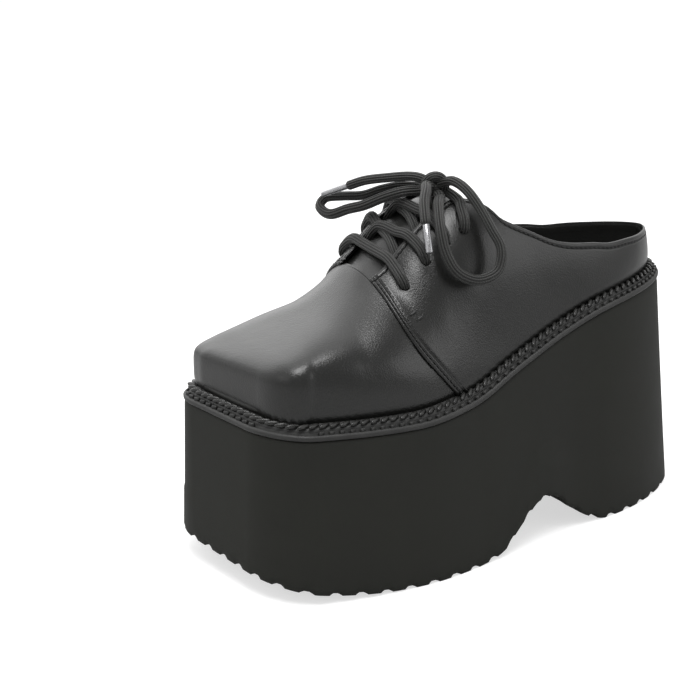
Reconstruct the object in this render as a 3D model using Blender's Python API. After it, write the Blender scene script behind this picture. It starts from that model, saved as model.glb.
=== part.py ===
"""Platform mule, left shoe: a lace-up slip-in with a square toe on a thick moulded platform.

Frame: +Z up, toe towards -Y, heel towards +Y, outer side of the foot towards +X. The origin is on
the floor under the middle of the shoe. Lengths are in metres, shares are of the size named with them.

A maker's pieces, from the floor up: the platform sole, the welt round its top edge, the insole
board, the upper (vamp and quarters in one wall, with the quarters standing proud at the seam), the
tongue, and the lace with its crossings, knot, loops, ends and tags.
"""

import math

import bmesh
import bpy
import numpy as np
from mathutils import Vector
from mathutils.bvhtree import BVHTree

# Plan and last
LENGTH = 0.2660            # welt, toe to heel
BALL_WIDTH = 0.1053        # welt, across the ball
TOE_CORNER = 0.0218        # radius of the square toe's corners, in plan
TOE_SLANT = 0.15           # the toe's front edge falls back towards the outer side
TOE_SLANT_LENGTH = 0.0665  # the slant dies out this far behind the toe
HEEL_ROUND = 0.0638        # length of the rounded heel, in plan
HEEL_ROUND_POWER = 1.8
INSTEP_HEIGHT = 0.0825     # top of the instep above the welt

# Platform sole
FRONT_HEIGHT = 0.0765      # block under the ball, floor to welt
HEEL_RISE = 0.0425         # the heel stands this much higher than the ball
TOE_SPRING = 0.0114
ARCH_HEIGHT = 0.0228
FLARE_FRONT = 0.0022
FLARE_HEEL = 0.0152
FLARE_SIDE = 0.0055
LUG_DEPTH = 0.0018
LUG_INSET = 0.0012
LUG_REACH = 0.0090         # the lugs' grooves run this far in from the edge
EDGE_HEIGHT = 0.0030       # the side starts this far above the tread edge
LUG_COUNT = 50

# Welt
WELT_HEIGHT = 0.0061
WELT_SHELF = 0.0066        # welt seen outside the upper
WELT_DEPTH = 0.0120        # welt, outer edge to inner edge
WELT_LIP = 0.0005
ROPE_RISE = 0.0006         # the stitched rope stands this much above the welt's height
LIP_HEIGHT = 0.0043
GROOVE_HEIGHT = 0.0035

# Upper, tongue and insole
WALL = 0.0018
QUARTER_STEP = 0.0012      # the quarter lies this much over the vamp
SEAM_LENGTH_SHARE = 0.004
THROAT_GAP = 0.0135        # half the gap between the facings
EYELET_SET = 0.0170        # eyelets behind the facing's edge, along the leather
EYELET_RADIUS = 0.0021
TONGUE_WALL = 0.0022
TONGUE_SINK = 0.0014       # tongue under the upper's lining
TONGUE_HALF_WIDTH = 0.0250
TONGUE_TAPER = 0.14        # the tongue's toe end is narrower by this share
TONGUE_LEAD = 0.035        # the tongue starts this share of LENGTH before the throat
TONGUE_END = 0.503         # share of LENGTH at which its top edge lies
TONGUE_ROUND = 0.035       # its top corners fall back by this share of LENGTH
INSOLE_THICKNESS = 0.0030
CLEARANCE = 0.0003

# Lace
LACE_RADIUS = 0.0027
TAG_RADIUS = 0.0018
TAG_LENGTH = 0.0150
LACE_LIFT = 0.0012         # clearance under the lace's crossings

# Mesh counts
EDGE_POINTS = 4 * LUG_COUNT
RIB_ROWS = 12
VAMP_RIBS = 22
QUARTER_RIBS = 24

# Half widths of the welt: share of LENGTH, outer and inner half as shares of BALL_WIDTH
PLAN = (
    (0.00, 0.399, 0.422),
    (0.10, 0.457, 0.450),
    (0.22, 0.501, 0.475),
    (0.33, 0.520, 0.485),
    (0.45, 0.483, 0.440),
    (0.58, 0.420, 0.371),
    (0.70, 0.374, 0.336),
    (0.82, 0.361, 0.346),
    (0.92, 0.357, 0.353),
    (1.00, 0.359, 0.349),
)

# Top of the block: share of LENGTH, share of HEEL_RISE above FRONT_HEIGHT
TOP_LINE = (
    (0.00, 0.075),
    (0.12, 0.030),
    (0.30, 0.000),
    (0.42, 0.080),
    (0.54, 0.350),
    (0.66, 0.615),
    (0.80, 0.865),
    (1.00, 0.995),
)

# Underside: share of LENGTH, share of TOE_SPRING, share of ARCH_HEIGHT
TREAD_LINE = (
    (0.000, 1.00, 0.00),
    (0.080, 0.58, 0.00),
    (0.170, 0.24, 0.00),
    (0.250, 0.06, 0.00),
    (0.330, 0.00, 0.00),
    (0.430, 0.00, 0.00),
    (0.470, 0.00, 0.04),
    (0.506, 0.00, 0.17),
    (0.534, 0.00, 0.46),
    (0.566, 0.00, 0.76),
    (0.595, 0.00, 0.98),
    (0.625, 0.00, 1.00),
    (0.655, 0.00, 0.78),
    (0.690, 0.00, 0.47),
    (0.733, 0.00, 0.17),
    (0.780, 0.00, 0.00),
    (1.000, 0.00, 0.00),
)

# Last above the welt: share of LENGTH, ridge height as a share of INSTEP_HEIGHT, ridge's place
# across as a share of BALL_WIDTH, roundness of the section's outer half and inner half
LAST = (
    (0.00, 0.215, -0.005, 6.0, 6.0),
    (0.05, 0.245, -0.010, 5.6, 5.6),
    (0.10, 0.322, -0.018, 4.8, 4.8),
    (0.16, 0.412, -0.030, 3.4, 3.3),
    (0.24, 0.533, -0.050, 2.5, 2.5),
    (0.28, 0.618, -0.064, 2.2, 2.3),
    (0.31, 0.700, -0.074, 1.95, 2.4),
    (0.34, 0.772, -0.076, 1.85, 2.6),
    (0.373, 0.872, -0.076, 1.95, 2.7),
    (0.412, 0.958, -0.074, 2.15, 2.8),
    (0.459, 1.000, -0.070, 2.45, 2.8),
    (0.50, 0.988, -0.062, 2.60, 2.8),
    (0.55, 0.952, -0.052, 2.45, 2.7),
    (0.60, 0.902, -0.042, 2.25, 2.5),
    (0.75, 0.708, -0.020, 2.10, 2.1),
    (0.90, 0.550, -0.005, 2.10, 2.1),
    (1.00, 0.473, 0.000, 2.10, 2.1),
)

# Top edge of the quarters: share of LENGTH, height above the welt as a share of INSTEP_HEIGHT
COLLAR = (
    (0.44, 1.030),
    (0.48, 0.972),
    (0.51, 0.919),
    (0.538, 0.838),
    (0.5545, 0.762),
    (0.578, 0.695),
    (0.615, 0.599),
    (0.658, 0.490),
    (0.706, 0.401),
    (0.756, 0.335),
    (0.8075, 0.279),
    (0.853, 0.262),
    (0.902, 0.246),
    (0.95, 0.218),
    (1.00, 0.190),
)

# Ribs of the upper: share of the way round one side of the edge, from toe to heel, and the share
# of LENGTH at which the rib that starts there reaches the ridge
RIBS = (
    (0.00, 0.130),
    (0.09, 0.147),
    (0.19, 0.176),
    (0.30, 0.222),
    (0.40, 0.275),
    (0.440, 0.308),
    (0.52, 0.368),
    (0.60, 0.455),
    (0.68, 0.575),
    (0.76, 0.690),
    (0.84, 0.790),
    (0.92, 0.860),
    (1.00, 0.885),
)
SEAM_SHARE = 0.440         # the rib that carries the seam between vamp and quarter
THROAT_ROUND = 0.030       # the throat's rounded end, as a share of LENGTH
THROAT_END = 0.560         # behind this share of LENGTH only the collar cuts the quarters
LACE_LINE = -0.038         # middle of the facings, as a share of BALL_WIDTH

# Bow, in metres: the knot's middle and half sizes, and the routes of the cords that leave it
KNOT_PLACE = (0.0020, -0.0098, 0.1762)
KNOT_SIZE = (0.0050, 0.0060, 0.0062)
KNOT_AXIS = (0.82, 0.55, 0.0)
KNOT_GAP = 0.0010          # between the knot and the cords that leave it
# Cords from the top eyelets, outer and inner: the way each leaves the knot, and the shares of
# EYELET_SET at which it lies on the quarter
RISE_WAYS = ((0.6, 0.8, -0.3), (-0.9, 0.7, 0.05))
RISE_STOPS = ((0.25, 0.5, 0.75, 1.0), (0.0, 0.2, 0.45, 0.7, 1.0))
RISE_GAP = 0.0020
RISE_LIFT = (0.0010, 0.0007)
RISE_BACK = 0.0050         # swinging back this much
LOOP_OUTER = (
    (0.0078, -0.0078, 0.1794),
    (0.0140, -0.0066, 0.1806),
    (0.0205, -0.0040, 0.1772),
    (0.0270, -0.0012, 0.1700),
    (0.0342, 0.0013, 0.1600),
    (0.0398, 0.0031, 0.1513),
    (0.0416, -0.0005, 0.1415),
    (0.0405, -0.0109, 0.1384),
    (0.0368, -0.0198, 0.1426),
    (0.0330, -0.0240, 0.1518),
    (0.0286, -0.0241, 0.1621),
    (0.0214, -0.0205, 0.1699),
    (0.0152, -0.0160, 0.1724),
    (0.0095, -0.0112, 0.1724),
)
LOOP_INNER = (
    (-0.0050, -0.0118, 0.1775),
    (-0.0125, -0.0190, 0.1784),
    (-0.0200, -0.0254, 0.1758),
    (-0.0280, -0.0315, 0.1707),
    (-0.0370, -0.0378, 0.1686),
    (-0.0438, -0.0435, 0.1672),
    (-0.0440, -0.0470, 0.1630),
    (-0.0365, -0.0455, 0.1603),
    (-0.0270, -0.0410, 0.1640),
    (-0.0190, -0.0365, 0.1690),
    (-0.0110, -0.0310, 0.1742),
    (-0.0035, -0.0250, 0.1775),
    (-0.0014, -0.0172, 0.1766),
)
END_OUTER = (
    (0.0066, -0.0172, 0.1784),
    (0.0130, -0.0218, 0.1770),
    (0.0185, -0.0265, 0.1730),
    (0.0230, -0.0290, 0.1680),
    (0.0255, -0.0300, 0.1640),
)
END_INNER = (
    (-0.0010, -0.0125, 0.1840),
    (-0.0060, -0.0162, 0.1860),
    (-0.0150, -0.0235, 0.1828),
    (-0.0240, -0.0320, 0.1790),
    (-0.0310, -0.0390, 0.1745),
)

# Eyelets: share of LENGTH at which each pair lies, from the toe end up
EYELETS = (0.352, 0.396, 0.437, 0.474)


def column(table, index):
    """One column of a table as an array."""
    return np.array([row[index] for row in table], dtype=float)


def smooth(table, index, at):
    """Smooth, overshoot-free reading of one column at the given shares."""
    x = column(table, 0)
    y = column(table, index)
    step = np.diff(x)
    slope = np.diff(y) / step
    tangent = np.zeros_like(y)
    tangent[0] = slope[0]
    tangent[-1] = slope[-1]
    for i in range(1, len(x) - 1):
        if slope[i - 1] * slope[i] > 0.0:
            a = 2.0 * step[i] + step[i - 1]
            b = step[i] + 2.0 * step[i - 1]
            tangent[i] = (a + b) / (a / slope[i - 1] + b / slope[i])
    at = np.clip(np.asarray(at, dtype=float), x[0], x[-1])
    cell = np.clip(np.searchsorted(x, at, side="right") - 1, 0, len(x) - 2)
    t = (at - x[cell]) / step[cell]
    keep = (1.0 + 2.0 * t) * (1.0 - t) ** 2
    rise = t * (1.0 - t) ** 2
    gain = t * t * (3.0 - 2.0 * t)
    fall = t * t * (t - 1.0)
    left = keep * y[cell] + rise * step[cell] * tangent[cell]
    right = gain * y[cell + 1] + fall * step[cell] * tangent[cell + 1]
    return left + right


def ease(value):
    """Soft step from 0 to 1."""
    t = np.clip(value, 0.0, 1.0)
    return t * t * (3.0 - 2.0 * t)


def share_of(y):
    """Share of LENGTH at a place along the shoe."""
    return np.clip(np.asarray(y) / LENGTH + 0.5, 0.0, 1.0)


def block_top(y):
    """Height of the block's top edge above the floor."""
    return FRONT_HEIGHT + HEEL_RISE * smooth(TOP_LINE, 1, share_of(y))


def tread(y):
    """Height of the underside above the floor."""
    share = share_of(y)
    return TOE_SPRING * smooth(TREAD_LINE, 1, share) + ARCH_HEIGHT * smooth(TREAD_LINE, 2, share)


def upper_base(y):
    """Height at which the upper meets the welt."""
    return block_top(y) + WELT_HEIGHT + CLEARANCE


def edge_side(side, count=900):
    """Welt edge of one side in plan, from the toe's middle to the heel's middle."""
    s = LENGTH * (1.0 - np.cos(np.linspace(0.0, math.pi, count))) / 2.0
    share = s / LENGTH
    outer = BALL_WIDTH * smooth(PLAN, 1, share)
    inner = BALL_WIDTH * smooth(PLAN, 2, share)
    back = np.clip((s - LENGTH + HEEL_ROUND) / HEEL_ROUND, 0.0, 1.0)
    cap = (1.0 - back ** HEEL_ROUND_POWER) ** (1.0 / HEEL_ROUND_POWER)
    middle = (outer - inner) / 2.0
    half = cap * (outer + inner) / 2.0
    front = np.clip(TOE_CORNER - s, 0.0, TOE_CORNER)
    half = half - TOE_CORNER + np.sqrt(TOE_CORNER ** 2 - front ** 2)
    half[back > 0.0] = (cap * (outer + inner) / 2.0)[back > 0.0]
    x = middle + side * half
    x = np.concatenate(([middle[0]], x))
    y = np.concatenate(([0.0], s)) - LENGTH / 2.0
    slant = np.clip(1.0 - (y + LENGTH / 2.0) / TOE_SLANT_LENGTH, 0.0, 1.0)
    y = y + TOE_SLANT * (x + BALL_WIDTH * PLAN[0][2]) * slant
    return np.column_stack((x, y))


def resample(points, shares):
    """Points at the given shares of a line's length."""
    run = np.concatenate(([0.0], np.cumsum(np.linalg.norm(np.diff(points, axis=0), axis=1))))
    at = np.asarray(shares) * run[-1]
    return np.column_stack([np.interp(at, run, points[:, k]) for k in range(points.shape[1])])


def edge_loop(shares):
    """Closed welt edge, outer side then inner side, with its outward normals."""
    outer = resample(edge_side(1.0), shares)
    inner = resample(edge_side(-1.0), shares)
    loop = np.concatenate((outer, inner[-2:0:-1]))
    around = np.roll(loop, -1, axis=0) - np.roll(loop, 1, axis=0)
    normal = np.column_stack((around[:, 1], -around[:, 0]))
    normal /= np.linalg.norm(normal, axis=1)[:, None]
    return loop, normal


def even_shares():
    """Even shares along one side for the rings of the sole, welt and insole."""
    return np.linspace(0.0, 1.0, EDGE_POINTS // 2 + 1)


def grown(loop, normal, offset):
    """A plan line moved outwards by an offset, one for all points or one each."""
    return loop + normal * np.broadcast_to(np.asarray(offset), (len(loop),))[:, None]


def ring(plan, height):
    """Plan points lifted to their heights."""
    return [Vector((float(p[0]), float(p[1]), float(z))) for p, z in zip(plan, height)]


def material(name, colour, roughness, metallic=0.0):
    """Plain finish for one sub-part."""
    finish = bpy.data.materials.new(name)
    finish.use_nodes = True
    shader = finish.node_tree.nodes["Principled BSDF"]
    shader.inputs["Base Color"].default_value = (*colour, 1.0)
    shader.inputs["Roughness"].default_value = roughness
    shader.inputs["Metallic"].default_value = metallic
    return finish


def add_mesh(name, bm, finish, smooth_angle=0.7):
    """Object from a finished mesh, smooth apart from its sharp edges."""
    bmesh.ops.recalc_face_normals(bm, faces=bm.faces)
    mesh = bpy.data.meshes.new(name)
    bm.to_mesh(mesh)
    bm.free()
    mesh.shade_smooth()
    mesh.set_sharp_from_angle(angle=smooth_angle)
    item = bpy.data.objects.new(name, mesh)
    item.data.materials.append(finish)
    bpy.context.scene.collection.objects.link(item)
    return item


def stack_rings(bm, rings, closed_stack=False):
    """Side faces between rings of equal counts; returns the rings' vertices."""
    rows = [[bm.verts.new(p) for p in r] for r in rings]
    pairs = list(zip(rows, rows[1:]))
    if closed_stack:
        pairs.append((rows[-1], rows[0]))
    for low, high in pairs:
        for i in range(len(low)):
            j = (i + 1) % len(low)
            bm.faces.new((low[i], low[j], high[j], high[i]))
    return rows


def close_across(bm, row):
    """Cap of a ring, laid as strips from its outer side to its inner side."""
    count = len(row)
    half = count // 2
    bm.faces.new((row[0], row[1], row[count - 1]))
    for i in range(1, half - 1):
        bm.faces.new((row[i], row[i + 1], row[count - i - 1], row[count - i]))
    bm.faces.new((row[half - 1], row[half], row[half + 1]))


def build_sole(finish):
    """Moulded platform: flared side, waved top, arch notch, toe spring and lugged tread edge."""
    loop, normal = edge_loop(even_shares())
    back = np.clip(normal[:, 1], 0.0, 1.0)
    front = np.clip(-normal[:, 1], 0.0, 1.0)
    flare = FLARE_SIDE * normal[:, 0] ** 2 + FLARE_HEEL * back ** 2 + FLARE_FRONT * front ** 2
    foot = grown(loop, normal, flare)
    low = tread(foot[:, 1])
    groove = np.array([0.0, 0.0, 1.0, 1.0] * LUG_COUNT)
    core = grown(loop, normal, flare - LUG_REACH)
    toothed = grown(loop, normal, flare - LUG_INSET * groove - LUG_INSET)
    side = grown(loop, normal, flare * (1.0 - EDGE_HEIGHT / block_top(loop[:, 1])))
    shelf = grown(loop, normal, -WELT_DEPTH - CLEARANCE)
    top = block_top(loop[:, 1])
    rings = [
        ring(core, tread(core[:, 1])),
        ring(toothed, tread(toothed[:, 1]) + LUG_DEPTH * groove),
        ring(side, low + EDGE_HEIGHT),
        ring(loop, top),
        ring(shelf, block_top(shelf[:, 1])),
        ring(shelf, block_top(shelf[:, 1]) + WELT_HEIGHT),
    ]
    bm = bmesh.new()
    rows = stack_rings(bm, rings)
    close_across(bm, rows[0])
    close_across(bm, rows[-1])
    return add_mesh("platform_sole", bm, finish)


def build_welt(finish):
    """Strip round the block's top: lip, notched groove and stitched rope."""
    loop, normal = edge_loop(even_shares()[::2])
    section = (
        (-WELT_DEPTH, CLEARANCE),
        (WELT_LIP, CLEARANCE),
        (WELT_LIP, LIP_HEIGHT * 0.7),
        (-WELT_LIP, LIP_HEIGHT),
        (-WELT_SHELF * 0.36, LIP_HEIGHT),
        (-WELT_SHELF * 0.46, GROOVE_HEIGHT),
        (-WELT_SHELF * 0.68, WELT_HEIGHT + ROPE_RISE),
        (-WELT_SHELF * 0.95, WELT_HEIGHT - ROPE_RISE),
        (-WELT_DEPTH, WELT_HEIGHT),
    )
    rings = []
    for offset, rise in section:
        plan = grown(loop, normal, offset)
        rings.append(ring(plan, block_top(plan[:, 1]) + rise))
    bm = bmesh.new()
    stack_rings(bm, rings, closed_stack=True)
    return add_mesh("welt", bm, finish)


def build_insole(finish):
    """Insole board with its lining, lying inside the upper."""
    loop, normal = edge_loop(even_shares()[::2])
    inset = WELT_SHELF + WALL + 2.0 * CLEARANCE
    rings = []
    for offset, rise in ((0.0, 0.0), (0.0, 0.7), (-CLEARANCE * 3.0, 1.0)):
        plan = grown(loop, normal, offset - inset)
        rings.append(ring(plan, upper_base(plan[:, 1]) + INSOLE_THICKNESS * rise))
    bm = bmesh.new()
    rows = stack_rings(bm, rings)
    close_across(bm, rows[0])
    close_across(bm, rows[-1])
    return add_mesh("insole", bm, finish)


def gap_at(share):
    """Half the throat's opening at a share of LENGTH, rounded at its lower end."""
    start = smooth(RIBS, 1, SEAM_SHARE)
    t = np.clip((share - start) / THROAT_ROUND, 0.0, 1.0)
    return THROAT_GAP * np.sqrt(np.clip(1.0 - (1.0 - t) ** 2, 0.0, 1.0))


def rib(base, side, share_round, whole=False, samples=160):
    """One rib of the upper, from the welt to the ridge, the facing or the collar.

    A whole rib runs on to the ridge, as on the last that the upper is pulled over.
    """
    top_share = float(smooth(RIBS, 1, share_round))
    top_y = (top_share - 0.5) * LENGTH
    ridge_x = BALL_WIDTH * float(smooth(LAST, 2, top_share))
    power = float(smooth(LAST, 3 if side > 0 else 4, top_share))
    angle = np.linspace(0.0, math.pi / 2.0, samples)
    up = np.sin(angle) ** (2.0 / power)
    over = 1.0 - np.abs(np.cos(angle)) ** (2.0 / power)
    lead = 1.0 - (1.0 - up) ** 2.4
    blend = float(ease((share_round - 0.14) / 0.20) * (1.0 - ease((share_round - 0.74) / 0.14)))
    along = over + (lead - over) * blend
    x = base[0] + (ridge_x - base[0]) * over
    y = base[1] + (top_y - base[1]) * along
    z = upper_base(y) + INSTEP_HEIGHT * smooth(LAST, 1, share_of(y)) * up
    line = np.column_stack((x, y, z))
    if whole or share_round <= SEAM_SHARE:
        return line
    middle = BALL_WIDTH * LACE_LINE
    share = share_of(y)
    inside = side * (x - middle) - gap_at(share)
    under = upper_base(y) + INSTEP_HEIGHT * smooth(COLLAR, 1, share) - z
    keep = np.where(share > THROAT_END, under, np.minimum(inside, under))
    keep = np.where(share < COLLAR[0][0], inside, keep)
    gone = np.nonzero(keep < 0.0)[0]
    if len(gone) == 0:
        return line
    last = gone[0]
    first = last - 1
    part = keep[first] / (keep[first] - keep[last])
    end = line[first] + part * (line[last] - line[first])
    return np.vstack((line[:last], end))


def rib_shares():
    """Where the ribs start along one side; two of them flank the seam."""
    vamp = np.linspace(0.0, SEAM_SHARE, VAMP_RIBS)
    quarter = np.linspace(SEAM_SHARE + SEAM_LENGTH_SHARE, 1.0, QUARTER_RIBS)
    return np.concatenate((vamp, quarter))


def upper_grid(rows, whole=False):
    """Ribs of both sides as (share, side, points), outer side then inner side."""
    shares = rib_shares()
    loop, normal = edge_loop(shares)
    base = grown(loop, normal, -WELT_SHELF)
    count = len(loop)
    last = len(shares) - 1
    ribs = []
    for i in range(count):
        near = i <= last
        share_round = shares[i] if near else shares[count - i]
        side = 1.0 if near else -1.0
        line = rib(base[i], side, share_round, whole)
        ribs.append((share_round, side, resample(line, np.linspace(0.0, 1.0, rows + 1))))
    return ribs


def upper_surface(bm, rows, whole=False):
    """Sheet that the upper's wall is built on; returns its ribs and its vertices by rib and row."""
    ribs = upper_grid(rows, whole)
    count = len(ribs)
    grid = []
    for i, (share_round, side, points) in enumerate(ribs):
        row = [bm.verts.new(Vector(p)) for p in points[:-1]]
        if side < 0.0 and (whole or share_round <= SEAM_SHARE):
            row.append(grid[count - i][-1])
        else:
            row.append(bm.verts.new(Vector(points[-1])))
        grid.append(row)
    for i in range(count):
        a = grid[i]
        b = grid[(i + 1) % count]
        for k in range(rows):
            corners = [a[k], b[k], b[k + 1], a[k + 1]]
            unique = [v for n, v in enumerate(corners) if v not in corners[:n]]
            bm.faces.new(unique)
    return ribs, grid


def build_upper(finish):
    """Hollow upper: one wall, quarters proud of the vamp, open at collar, throat and underneath."""
    guide = bmesh.new()
    ribs, grid = upper_surface(guide, RIB_ROWS)
    bmesh.ops.recalc_face_normals(guide, faces=guide.faces)
    guide.normal_update()
    outward = 1.0 if grid[0][1].normal.y < 0.0 else -1.0
    bm = bmesh.new()
    made = {}

    def shell_vert(vert, depth, kind):
        key = (vert, kind)
        if key not in made:
            push = vert.normal * outward
            place = vert.co + push * depth
            if any(vert is row[0] for row in grid):
                flat = Vector((push.x, push.y, 0.0)).normalized()
                place = vert.co + flat * depth
            made[key] = bm.verts.new(place)
        return made[key]

    outer = []
    inner = []
    for (share_round, side, points), row in zip(ribs, grid):
        proud = QUARTER_STEP if share_round > SEAM_SHARE else 0.0
        outer.append([shell_vert(v, proud, "outer") for v in row])
        inner.append([shell_vert(v, -WALL, "inner") for v in row[::2]])
    count = len(ribs)
    for i in range(count):
        j = (i + 1) % count
        for sheet in (outer, inner):
            a = sheet[i]
            b = sheet[j]
            for k in range(len(a) - 1):
                corners = [a[k], b[k], b[k + 1], a[k + 1]]
                unique = [v for n, v in enumerate(corners) if v not in corners[:n]]
                bm.faces.new(unique if sheet is outer else unique[::-1])
        bm.faces.new((outer[i][0], inner[i][0], inner[j][0], outer[j][0]))
        both_vamp = ribs[i][0] <= SEAM_SHARE and ribs[j][0] <= SEAM_SHARE
        if not both_vamp:
            bm.faces.new((outer[i][-1], outer[j][-1], inner[j][-1], inner[i][-1]))
    guide.free()
    return add_mesh("upper", bm, finish)


class Last:
    """The whole form that the upper is pulled over, for what lies on it or under it."""

    def __init__(self):
        bm = bmesh.new()
        upper_surface(bm, 2 * RIB_ROWS, whole=True)
        bmesh.ops.triangulate(bm, faces=bm.faces)
        self.tree = BVHTree.FromBMesh(bm)
        bm.free()

    def height(self, x, y):
        """Height of the form over a place in plan."""
        hit = self.tree.ray_cast(Vector((x, y, 1.0)), Vector((0.0, 0.0, -1.0)))
        return hit[0].z

    def frame(self, x, y, step=0.0015):
        """Point on the form and its outward normal."""
        slope_x = (self.height(x + step, y) - self.height(x - step, y)) / (2.0 * step)
        slope_y = (self.height(x, y + step) - self.height(x, y - step)) / (2.0 * step)
        normal = Vector((-slope_x, -slope_y, 1.0)).normalized()
        return Vector((x, y, self.height(x, y))), normal


def facing_place(last, share, side, run, step=0.0005):
    """Place across the shoe that lies a run of leather behind the facing's edge."""
    y = (share - 0.5) * LENGTH
    x = BALL_WIDTH * LACE_LINE + side * THROAT_GAP
    while run > 0.0:
        run -= math.hypot(step, last.height(x + side * step, y) - last.height(x, y))
        x += side * step
    return x


def eyelet_places(last):
    """Eyelets as (point, normal), outer side and inner side for each pair."""
    places = []
    for share in EYELETS:
        y = (share - 0.5) * LENGTH
        pair = [facing_place(last, share, side, EYELET_SET) for side in (1.0, -1.0)]
        places.append(tuple(last.frame(x, y) for x in pair))
    return places


def cut_eyelets(upper, last, finish):
    """Punch the eyelets through the facings."""
    bm = bmesh.new()
    for pair in eyelet_places(last):
        for point, normal in pair:
            turn = normal.to_track_quat("Z", "Y").to_matrix().to_4x4()
            turn.translation = point
            bmesh.ops.create_cone(
                bm,
                cap_ends=True,
                segments=10,
                radius1=EYELET_RADIUS,
                radius2=EYELET_RADIUS,
                depth=6.0 * WALL,
                matrix=turn,
            )
    cutter = add_mesh("eyelet_punch", bm, finish)
    cutter.hide_render = True
    cutter.display_type = "WIRE"
    cut = upper.modifiers.new("eyelets", "BOOLEAN")
    cut.operation = "DIFFERENCE"
    cut.solver = "EXACT"
    cut.object = cutter


def build_tongue(last, finish):
    """Tongue under the facings, with its rounded top just above them."""
    across = 12
    along = 16
    start = smooth(RIBS, 1, SEAM_SHARE) - TONGUE_LEAD
    sink = WALL + TONGUE_SINK
    middle = BALL_WIDTH * LACE_LINE
    sheets = []
    for depth in (sink, sink + TONGUE_WALL):
        rows = []
        for k in range(along + 1):
            t = k / along
            share = start + (TONGUE_END - start) * t
            row = []
            for i in range(across + 1):
                s = 2.0 * i / across - 1.0
                x = middle + s * TONGUE_HALF_WIDTH * (1.0 - TONGUE_TAPER * (1.0 - t))
                drop = TONGUE_ROUND * t ** 4 * s * s
                y = (share - 0.5 - drop) * LENGTH
                point, normal = last.frame(x, y)
                row.append(point - normal * depth)
            rows.append(row)
        sheets.append(rows)
    bm = bmesh.new()
    verts = [[[bm.verts.new(p) for p in row] for row in sheet] for sheet in sheets]
    for sheet in verts:
        for low, high in zip(sheet, sheet[1:]):
            for i in range(across):
                bm.faces.new((low[i], low[i + 1], high[i + 1], high[i]))
    top, bottom = verts
    edge_top = top[0] + [r[-1] for r in top[1:]] + top[-1][-2::-1] + [r[0] for r in top[-2:0:-1]]
    edge_low = bottom[0] + [r[-1] for r in bottom[1:]] + bottom[-1][-2::-1]
    edge_low = edge_low + [r[0] for r in bottom[-2:0:-1]]
    for i in range(len(edge_top)):
        j = (i + 1) % len(edge_top)
        bm.faces.new((edge_top[i], edge_top[j], edge_low[j], edge_low[i]))
    return add_mesh("tongue", bm, finish)


def spline(points, spacing):
    """Smooth line through route points, read off at an even spacing."""
    route = [Vector(p) for p in points]
    route = [route[0] * 2.0 - route[1]] + route + [route[-1] * 2.0 - route[-2]]
    line = []
    for a, b, c, d in zip(route, route[1:], route[2:], route[3:]):
        for k in range(24):
            t = k / 24.0
            line.append(
                0.5
                * (
                    2.0 * b
                    + (c - a) * t
                    + (2.0 * a - 5.0 * b + 4.0 * c - d) * t ** 2
                    + (3.0 * b - a - 3.0 * c + d) * t ** 3
                )
            )
    line.append(route[-2])
    array = np.array([tuple(p) for p in line])
    run = float(np.sum(np.linalg.norm(np.diff(array, axis=0), axis=1)))
    count = max(3, int(round(run / spacing)))
    return resample(array, np.linspace(0.0, 1.0, count + 1))


def tube_mesh(points, radius, sides=8):
    """Closed round tube along a line, as a mesh to be joined with others."""
    bm = bmesh.new()
    places = [Vector(p) for p in points]
    rows = []
    across = None
    for i, place in enumerate(places):
        ahead = places[min(i + 1, len(places) - 1)] - places[max(i - 1, 0)]
        ahead.normalize()
        if across is None:
            across = ahead.orthogonal().normalized()
        across = (across - ahead * across.dot(ahead)).normalized()
        up = ahead.cross(across)
        row = []
        for k in range(sides):
            angle = 2.0 * math.pi * k / sides
            row.append(bm.verts.new(place + radius * (across * math.cos(angle) + up * math.sin(angle))))
        rows.append(row)
    for low, high in zip(rows, rows[1:]):
        for k in range(sides):
            n = (k + 1) % sides
            bm.faces.new((low[k], low[n], high[n], high[k]))
    bm.faces.new(rows[0][::-1])
    bm.faces.new(rows[-1])
    return bm


def lace_path(last, first_side):
    """Half of the crossings: from the middle of the lowest bar, side to side up the eyelets."""
    lift = QUARTER_STEP + LACE_RADIUS + LACE_LIFT
    stops = [(BALL_WIDTH * LACE_LINE - first_side * LACE_RADIUS, EYELETS[0])]
    side = first_side
    for share in EYELETS[:-1]:
        stops.append((facing_place(last, share, side, EYELET_SET), share))
        side = -side
    points = []
    for (x0, s0), (x1, s1) in zip(stops, stops[1:]):
        steps = max(2, int(round(abs(x1 - x0) / (2.2 * LACE_RADIUS))))
        for k in range(steps):
            t = k / steps
            y = (s0 + (s1 - s0) * t - 0.5) * LENGTH
            point, normal = last.frame(x0 + (x1 - x0) * t, y)
            points.append(point + normal * lift)
    point, normal = last.frame(stops[-1][0], (stops[-1][1] - 0.5) * LENGTH)
    points.append(point + normal * lift)
    return points


def build_crossings(last, finish):
    """Bars and crossings of the lace over the throat, joined where they cross."""
    parts = []
    for name, side in (("lace_crossings", 1.0), ("lace_crossing_half", -1.0)):
        parts.append(add_mesh(name, tube_mesh(lace_path(last, side), LACE_RADIUS), finish))
    whole, half = parts
    half.hide_render = True
    half.display_type = "WIRE"
    join = whole.modifiers.new("crossing", "BOOLEAN")
    join.operation = "UNION"
    join.solver = "EXACT"
    join.object = half
    return whole


def build_cord(name, points, radius, finish, resolution=3):
    """Free length of lace as a round tube."""
    curve = bpy.data.curves.new(name, "CURVE")
    curve.dimensions = "3D"
    curve.bevel_depth = radius
    curve.bevel_resolution = resolution
    curve.use_fill_caps = True
    line = curve.splines.new("POLY")
    line.points.add(len(points) - 1)
    for slot, place in zip(line.points, points):
        slot.co = (*place, 1.0)
    curve.materials.append(finish)
    item = bpy.data.objects.new(name, curve)
    bpy.context.scene.collection.objects.link(item)
    return item


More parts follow.
